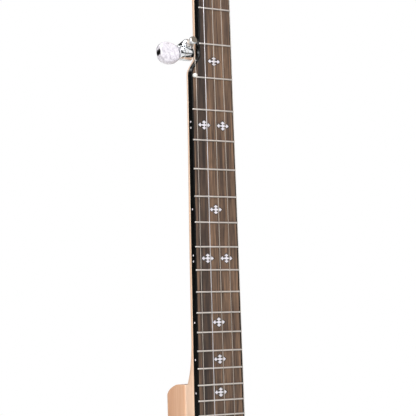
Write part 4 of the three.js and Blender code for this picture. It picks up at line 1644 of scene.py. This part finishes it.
@dataclass(frozen=True)
class Pot:
    """The drum: rim, tone ring, head and hoops."""

    centre: float = 630.0
    head_plane: float = 6.0
    rim_outer: float = 139.7
    rim_inner: float = 125.7
    rim_top: float = 12.8
    rim_back: float = 73.0
    hoop_inner: float = 141.0
    hoop_outer: float = 146.0
    hoop_front: float = 2.8
    hoop_back: float = 14.6
    flesh_outer: float = 145.2
    flesh_back: float = 19.0
    sides: int = 192
    film: tuple[Pair, ...] = ((137.0, 6.0), (138.9, 6.5), (139.9, 7.6), (140.3, 9.4), (140.4, 15.2))

    def ring(self, name: str, profile: Sequence[Pair], finish: Finish, node: str) -> None:
        """Make one ring of the pot from its closed section."""
        form = Form().turn(profile, self.sides, endless=True).move(Matrix.Translation((0, 0, -self.centre)))
        fit(form.object(name, 40), finish, ROOT, [node])

    @staticmethod
    def eased(inner: float, outer: float, front: float, back: float, ease: float) -> list[Pair]:
        """Return a rectangle's section with its four corners rounded.

        Args:
            inner: its inner radius.
            outer: its outer radius.
            front: where it starts along Y.
            back: where it ends.
            ease: the corners' radius.

        Returns:
            The closed section.
        """
        corners = (
            ((inner + ease, front + ease), 180, 270),
            ((outer - ease, front + ease), 270, 360),
            ((outer - ease, back - ease), 0, 90),
            ((inner + ease, back - ease), 90, 180),
        )
        return [p for centre, low, high in corners for p in arc(centre, ease, low, high, 4)]

    def build(self) -> None:
        """Build the pot's rings and the head."""
        rim = self.eased(self.rim_inner, self.rim_outer, self.rim_top, self.rim_back, 1.6)
        self.ring("maple_rim", rim, BENT_MAPLE, "rim")
        self.ring("rolled_tone_ring", arc((135.6, 9.7), 3.0, 0, 337.5, 15), NICKEL, "tone_ring")
        flesh = self.eased(140.5, self.flesh_outer, self.hoop_back, self.flesh_back, 1.0)
        self.ring("flesh_hoop_ring", flesh, NICKEL, "flesh_hoop")
        i, o, f, b = self.hoop_inner, self.hoop_outer, self.hoop_front, self.hoop_back
        groove = [(i + 0.6, f), (i + 1.3, f), (i + 1.5, f + 1.3), (i + 3.5, f + 1.3)]
        groove += [(i + 3.7, f), (o - 0.5, f)]
        hoop = [(i, f + 0.6), *groove, (o, f + 0.5), (o, b - 0.5), (o - 0.5, b), (i + 0.5, b), (i, b - 0.5)]
        self.ring("grooved_tension_hoop", hoop, NICKEL, "tension_hoop")
        film = self.film
        lining = [(r - 0.35, y + 0.3) for r, y in reversed(film)]
        lining[0] = (140.05, 15.2)
        form = Form().turn([(100.0, 6.0), *film, *lining, (100.0, 6.3)], self.sides)
        form.move(Matrix.Translation((0, 0, -self.centre)))
        fit(form.object("stretched_head", 40), DRUMHEAD, ROOT, ["head"])


@dataclass(frozen=True)
class Bracket:
    """One bracket of the pot: hook, shoe, nut and the bolt that holds the shoe."""

    number: int
    reach: float = 149.8
    wire: float = 1.75
    bend: float = 3.2
    thread_from: float = 57.4
    thread_cut: float = 0.25
    shoe_half: float = 6.0
    bolt_y: float = 44.0
    count: int = 16
    shoe_side: tuple[Pair, ...] = (
        (36.5, 139.8), (36.6, 143), (38.5, 146.2), (39, 153.2), (40, 154),
        (48, 154), (49.5, 153), (50, 146), (51.4, 143), (51.5, 139.8),
    )

    def place(self) -> Matrix:
        """Return the matrix that turns a bracket made at the top of the pot to its own place."""
        turn = Matrix.Rotation(2 * math.pi * (self.number - 0.5) / self.count, 4, "Y")
        return Matrix.Translation((0, 0, -Pot.centre)) @ turn

    def build(self) -> None:
        """Build the bracket's four pieces."""
        place = self.place()
        name = f"bracket_{self.number:02d}"
        over = arc((self.reach - self.bend, 2.0), self.bend, 180, 360, 12)
        flat = [(self.reach - 2 * self.bend, 3.9), *over, (self.reach, 20), (self.reach, 57.2)]
        path = [(0.0, y, r) for r, y in flat]
        radii = [self.wire] * len(path)
        for i in range(8):
            path.append((0.0, self.thread_from + 0.35 * i, self.reach))
            radii.append(self.wire - self.thread_cut * (i % 2))
        hook = Form().tube(path, radii, 14).move(place)
        fit(hook.object(f"{name}_hook", 50), NICKEL, ROOT, [name])
        shoe = Form().side_plate(rounded(self.shoe_side, 2), -self.shoe_half, self.shoe_half)
        fit(shoe.bevel(1.3, 3, 35).move(place).object(f"{name}_shoe"), NICKEL)
        nut = Form().hexagon(4.6, 50.2, 57).move(place @ Matrix.Translation((0, 0, self.reach)))
        fit(nut.object(f"{name}_nut"), NICKEL)
        bolt = Form().turn([(6.2, 0), (6.2, 1.0), (5.8, 1.3), (3, 1.3)], 28)
        head = Form().hexagon(4.8, 1.0, 4.2)
        inward = Matrix.Rotation(-math.pi / 2, 4, "X")
        seat = place @ Matrix.Translation((0, self.bolt_y, Pot.rim_inner + 0.1)) @ inward
        fit(carve(f"{name}_shoe_bolt", [bolt.move(seat), head.move(seat)]), STEEL)


@dataclass(frozen=True)
class Hardware:
    """The rod and the bolt that join the neck to the pot."""

    rod_y: float = 44.0
    bolt_y: float = 27.0

    def axis(self, y: float) -> Matrix:
        """Return the matrix from a form about Y to the pot's middle line at a depth."""
        return Matrix.Translation((0, y, -Pot.centre)) @ Matrix.Rotation(math.pi / 2, 4, "X")

    def build(self) -> None:
        """Build the rod with its coupling, the bolt with its nut and washer, and the nut at the tail."""
        inner = Pot.rim_inner
        rod_profile = [(3.15, -148.8), (3.15, -inner + 0.4), (4.3, -inner + 0.4), (4.75, -inner + 1.2)]
        rod_profile += [(4.75, inner - 22), (3.15, inner - 21.5), (3.15, 165)]
        rod = Form().turn(rod_profile, 36)
        coupling = Form().hexagon(7.0, inner - 21, inner - 0.9)
        place = self.axis(self.rod_y)
        joined = carve("steel_coordinator_rod", [rod.move(place), coupling.move(place)])
        fit(joined, STEEL, ROOT, ["coordinator_rod"])
        place = self.axis(self.bolt_y)
        stud = Form().turn([(3.1, inner - 11), (3.1, 165)], 24)
        hexagon = Form().hexagon(6.4, inner - 7, inner - 1.6)
        washer = Form().turn([(8.0, inner - 1.7), (8.2, inner - 1.2), (8.0, inner - 0.4)], 32)
        forms = [f.move(place) for f in (stud, hexagon, washer)]
        fit(carve("neck_bolt_and_nut", forms), STEEL, ROOT, ["neck_bolt"])
        nut = Form().hexagon(6.4, -148.9, -142.9).move(self.axis(self.rod_y))
        fit(nut.object("rod_end_nut"), NICKEL, ROOT, ["rod_nut"])


@dataclass(frozen=True)
class Tailpiece:
    """The tailpiece: a waisted plate folded down in front, its pins, its screw and its hanger.

    The strap's outline runs in Y and Z from the pot's middle. Each row of the plate holds its
    half width, its front, its back and its height from there.
    """

    strap: tuple[Pair, ...] = (
        (1.4, -149.6), (1.4, -147.2), (22, -147.2), (32, -140.2), (54, -140.2), (54, -142.6), (33, -142.6),
        (23, -149.6),
    )
    strap_half: float = 8.0
    rows: tuple[tuple[float, float, float, float], ...] = (
        (13.0, -1.1, 1.1, -150.0), (13.0, -1.1, 1.1, -140.0), (16.0, -1.1, 1.0, -122.0),
        (21.5, -1.1, 0.9, -108.0), (22.0, -0.6, 2.0, -99.0), (22.0, 1.0, 4.0, -97.0),
    )
    pin: tuple[Pair, ...] = ((0.5, 0.9), (0.9, 1.0), (0.9, 3.2), (1.3, 3.4), (1.2, 4.0))

    def make_hanger(self) -> None:
        """Make the strap that hangs the tailpiece from the rod's end."""
        strap = Form().side_plate(self.strap, -self.strap_half, self.strap_half).bevel(0.6, 2)
        strap.move(Matrix.Translation((0, 0, -Pot.centre)))
        fit(strap.object("tailpiece_strap"), NICKEL, ROOT, ["tailpiece_hanger"])

    def build(self) -> None:
        """Build the hanger, the plate, a pin for each string and the screw."""
        self.make_hanger()
        rings = []
        for w, front, back, z in self.rows:
            ring = [(-w, front + 0.4, z), (-w + 0.5, front, z), (w - 0.5, front, z), (w, front + 0.4, z)]
            rings.append([*ring, (w, back, z), (-w, back, z)])
        plate = Form().loft(rings).bevel(0.3, 2, 40).move(Matrix.Translation((0, 0, -Pot.centre)))
        fit(plate.object("tailpiece_plate", 30), NICKEL, ROOT, ["tailpiece"])
        for course in (*Strings.courses, Strings.fifth):
            spot = (course.bridge * Strings.tail_share, -0.8, -Strings.tail_at - 0.9)
            pin = Form().turn(self.pin, 16).move(Matrix.Translation(spot))
            fit(pin.object(f"tailpiece_pin_{course.number}"), NICKEL)
        screw = slotted_screw(3.2, 1.6).move(Matrix.Translation((0, -1.1, -Pot.centre - 136)))
        fit(screw.object("tailpiece_screw"), NICKEL)


@dataclass(frozen=True)
class Bridge:
    """The bridge: three feet under two arches, thin at the top, with an ebony cap."""

    half: float = 37.0
    top_half: float = 26.0
    cap: float = 1.6
    arches: tuple[Pair, ...] = ((-29, -5), (5, 29))
    arch_rise: float = 6.4
    foot_half: float = 3.5
    top_thick: float = 1.2

    @property
    def foot(self) -> float:
        """Return the depth of the feet, just in the head's skin."""
        return Pot.head_plane - 0.05

    @property
    def top(self) -> float:
        """Return the depth of the cap's top, just under the strings."""
        return Strings.over_bridge + 0.55

    def arch(self, low: float, high: float) -> list[Pair]:
        """Return one arch between two feet.

        Args:
            low: where it springs on the bass side.
            high: where it springs on the treble side.

        Returns:
            Its points in X and Y.
        """
        middle, half = (low + high) / 2, (high - low) / 2
        turns = [math.pi * i / 14 for i in range(15)]
        rises = [self.arch_rise * math.sin(t) ** 0.7 for t in turns]
        return [(middle - half * math.cos(t), self.foot - rise) for t, rise in zip(turns, rises)]

    def wedge(self, points: Sequence[Pair]) -> Form:
        """Return an outline thickened along the neck, thick at the feet and thin at the top.

        Args:
            points: the outline in X and Y.

        Returns:
            The wedge under the strings.
        """
        rings = []
        for sign in (-1, 1):
            ring = []
            for x, y in points:
                down = (y - self.top) / (self.foot - self.top)
                half = self.top_thick + (self.foot_half - self.top_thick) * down
                ring.append((x, y, sign * half - Strings.bridge_at))
            rings.append(ring)
        return Form().loft(rings)

    def build(self) -> None:
        """Build the bridge's body and its cap."""
        foot, side, shelf = self.foot, self.half, self.top_half
        under = self.top + self.cap
        body = [(-side, foot), *self.arch(*self.arches[0]), *self.arch(*self.arches[1]), (side, foot)]
        body += [(side, foot - 2.5), (side - 2.5, foot - 4.2), (shelf + 1.5, under + 0.6), (shelf, under)]
        body += [(-shelf, under), (-shelf - 1.5, under + 0.6), (2.5 - side, foot - 4.2)]
        body.append((-side, foot - 2.5))
        fit(self.wedge(body).bevel(0.35, 2, 40).object("bridge_body"), OILED_MAPLE, ROOT, ["bridge"])
        strip = [(-shelf, under), (shelf, under), (shelf - 0.4, self.top), (0.4 - shelf, self.top)]
        fit(self.wedge(strip).bevel(0.2, 2, 40).object("bridge_cap"), EBONY)


# --------------------------------------------------------------------------- studio


@dataclass(frozen=True)
class SoftBox:
    """One soft square light, in metres and watts."""

    name: str
    spot: Point
    size: float
    power: float

    def build(self, aim: Point) -> None:
        """Build the light.

        Args:
            aim: the point that it faces.
        """
        data = bpy.data.lights.new(self.name, "AREA")
        data.shape = "SQUARE"
        data.size = self.size
        data.energy = self.power
        light = bpy.data.objects.new(self.name, data)
        light.location = self.spot
        light.rotation_euler = (Vector(aim) - Vector(self.spot)).to_track_quat("-Z", "Y").to_euler()
        bpy.context.scene.collection.objects.link(light)


@dataclass(frozen=True)
class Studio:
    """The camera, the light and the floor.

    The panel is the direction of a bright board in the surround. Its reach is the angle where
    it is full and the angle where it is gone. The cove's stops run from straight down to up.
    """

    azimuth: float = -33.563
    elevation: float = -4.388
    roll: float = -1.684
    distance: float = 1274.1
    target: Point = (-6.93, 0.0, -280.34)
    lens: float = 128.45
    floor_drop: float = 60.0
    floor_half: float = 3.0
    lit_point: Point = (0.0, 0.0, -0.3)
    lights: tuple[SoftBox, ...] = (
        SoftBox("key_light", (-1.7, -1.5, 1.0), 1.2, 52),
        SoftBox("fill_light", (0.3, -1.3, 1.8), 1.0, 22),
        SoftBox("back_light", (-0.9, 1.5, 1.5), 1.2, 22),
    )
    panel: Point = (0.551, -0.771, 0.32)
    panel_reach: Pair = (14.0, 24.0)
    panel_light: float = 1.2
    behind_light: float = 0.25
    cove_light: float = 0.8
    cove: Stops = (
        (0.3, "#1d1d1f"), (0.5, "#3c3c3e"), (0.65, "#6a6a6c"), (0.8, "#d8d8da"), (1.0, "#ffffff"),
    )

    def make_camera(self) -> None:
        """Make the camera, in front and to the fifth-string side, looking slightly up."""
        a, e, r = (math.radians(v) for v in (self.azimuth, self.elevation, self.roll))
        back = Vector((math.sin(a) * math.cos(e), -math.cos(a) * math.cos(e), math.sin(e)))
        level = Vector((0, 0, 1)).cross(back).normalized()
        rise = back.cross(level)
        right = level * math.cos(r) + rise * math.sin(r)
        up = rise * math.cos(r) - level * math.sin(r)
        data = bpy.data.cameras.new("studio_camera")
        data.lens = self.lens
        data.sensor_width = 36.0
        data.clip_start = 0.05
        data.clip_end = 50.0
        camera = bpy.data.objects.new("studio_camera", data)
        spot = (Vector(self.target) + back * self.distance) * MM
        turn = Matrix((right, up, back)).transposed().to_4x4()
        camera.matrix_world = Matrix.Translation(spot) @ turn
        bpy.context.scene.collection.objects.link(camera)
        bpy.context.scene.camera = camera

    def make_world(self) -> None:
        """Make the surround: white where it is seen, and a cove with one bright panel elsewhere.

        The cove darkens low down and behind, as a room with soft boxes does, which gives the
        polished metal its dark and bright patches.
        """
        world = bpy.data.worlds.new("white_cove")
        bpy.context.scene.world = world
        world.use_nodes = True
        tree = world.node_tree
        tree.nodes.clear()
        place = add_node(tree, "ShaderNodeTexCoord").outputs["Generated"]
        axes = add_node(tree, "ShaderNodeSeparateXYZ", {0: place}).outputs
        rise = {"Value": axes["Z"], "From Min": -1.0, "From Max": 1.0}
        height = add_node(tree, "ShaderNodeMapRange", rise).outputs["Result"]
        cove = add_node(tree, "ShaderNodeValToRGB", {"Fac": height}, stops=self.cove).outputs["Color"]
        back = {"Value": axes["Y"], "From Min": -0.1, "From Max": 0.5}
        back |= {"To Min": 1.0, "To Max": self.behind_light}
        behind = add_node(tree, "ShaderNodeMapRange", back).outputs["Result"]
        aim = {0: place, 1: self.panel}
        toward = add_node(tree, "ShaderNodeVectorMath", aim, operation="DOT_PRODUCT").outputs["Value"]
        full, gone = (math.cos(math.radians(v)) for v in self.panel_reach)
        edge = {"Value": toward, "From Min": gone, "From Max": full}
        edge |= {"To Min": 0.0, "To Max": self.panel_light}
        panel = add_node(tree, "ShaderNodeMapRange", edge).outputs["Result"]
        parts = {0: cove, 1: behind, 2: panel}
        surround = add_node(tree, "ShaderNodeVectorMath", parts, operation="MULTIPLY_ADD").outputs[0]
        lit = add_node(tree, "ShaderNodeBackground", {"Color": surround, "Strength": self.cove_light})
        seen = add_node(tree, "ShaderNodeBackground", {"Color": linear("#ffffff"), "Strength": 1.0})
        ray = add_node(tree, "ShaderNodeLightPath").outputs["Is Camera Ray"]
        mixed = add_node(tree, "ShaderNodeMixShader", {0: ray, 1: lit.outputs[0], 2: seen.outputs[0]})
        add_node(tree, "ShaderNodeOutputWorld", {"Surface": mixed.outputs[0]})

    def make_floor(self) -> None:
        """Make the pale floor under the hanging banjo."""
        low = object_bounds()[0][2] - self.floor_drop * MM
        half = self.floor_half
        data = bpy.data.meshes.new("studio_floor")
        corners = [(-half, -half, low), (half, -half, low), (half, half, low), (-half, half, low)]
        data.from_pydata(corners, [], [(0, 1, 2, 3)])
        floor = bpy.data.objects.new("studio_floor", data)
        data.materials.append(FLOOR_PAPER.material())
        bpy.context.scene.collection.objects.link(floor)
        floor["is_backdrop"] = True

    def build(self) -> None:
        """Build the camera, the lights and the floor."""
        self.make_camera()
        self.make_world()
        for light in self.lights:
            light.build(self.lit_point)
        self.make_floor()
        view = bpy.context.scene.view_settings
        view.view_transform = "Standard"
        view.look = "None"


def main() -> None:
    """Build the studio and then every sub-assembly in order."""
    logging.basicConfig(level=logging.INFO, format="%(name)s: %(message)s")
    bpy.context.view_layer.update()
    Studio().build()
    assemblies: list[object] = [Neck(), Board(), Nut(), FifthNut(), Peghead(), FifthTuner(), Strings()]
    assemblies += [Pot(), Hardware(), Tailpiece(), Bridge()]
    assemblies += [Tuner(c.number, c.side, c.reach) for c in Strings.courses]
    assemblies += [Bracket(number + 1) for number in range(Bracket.count)]
    for assembly in assemblies:
        assembly.build()


if __name__ == "__main__":
    main()
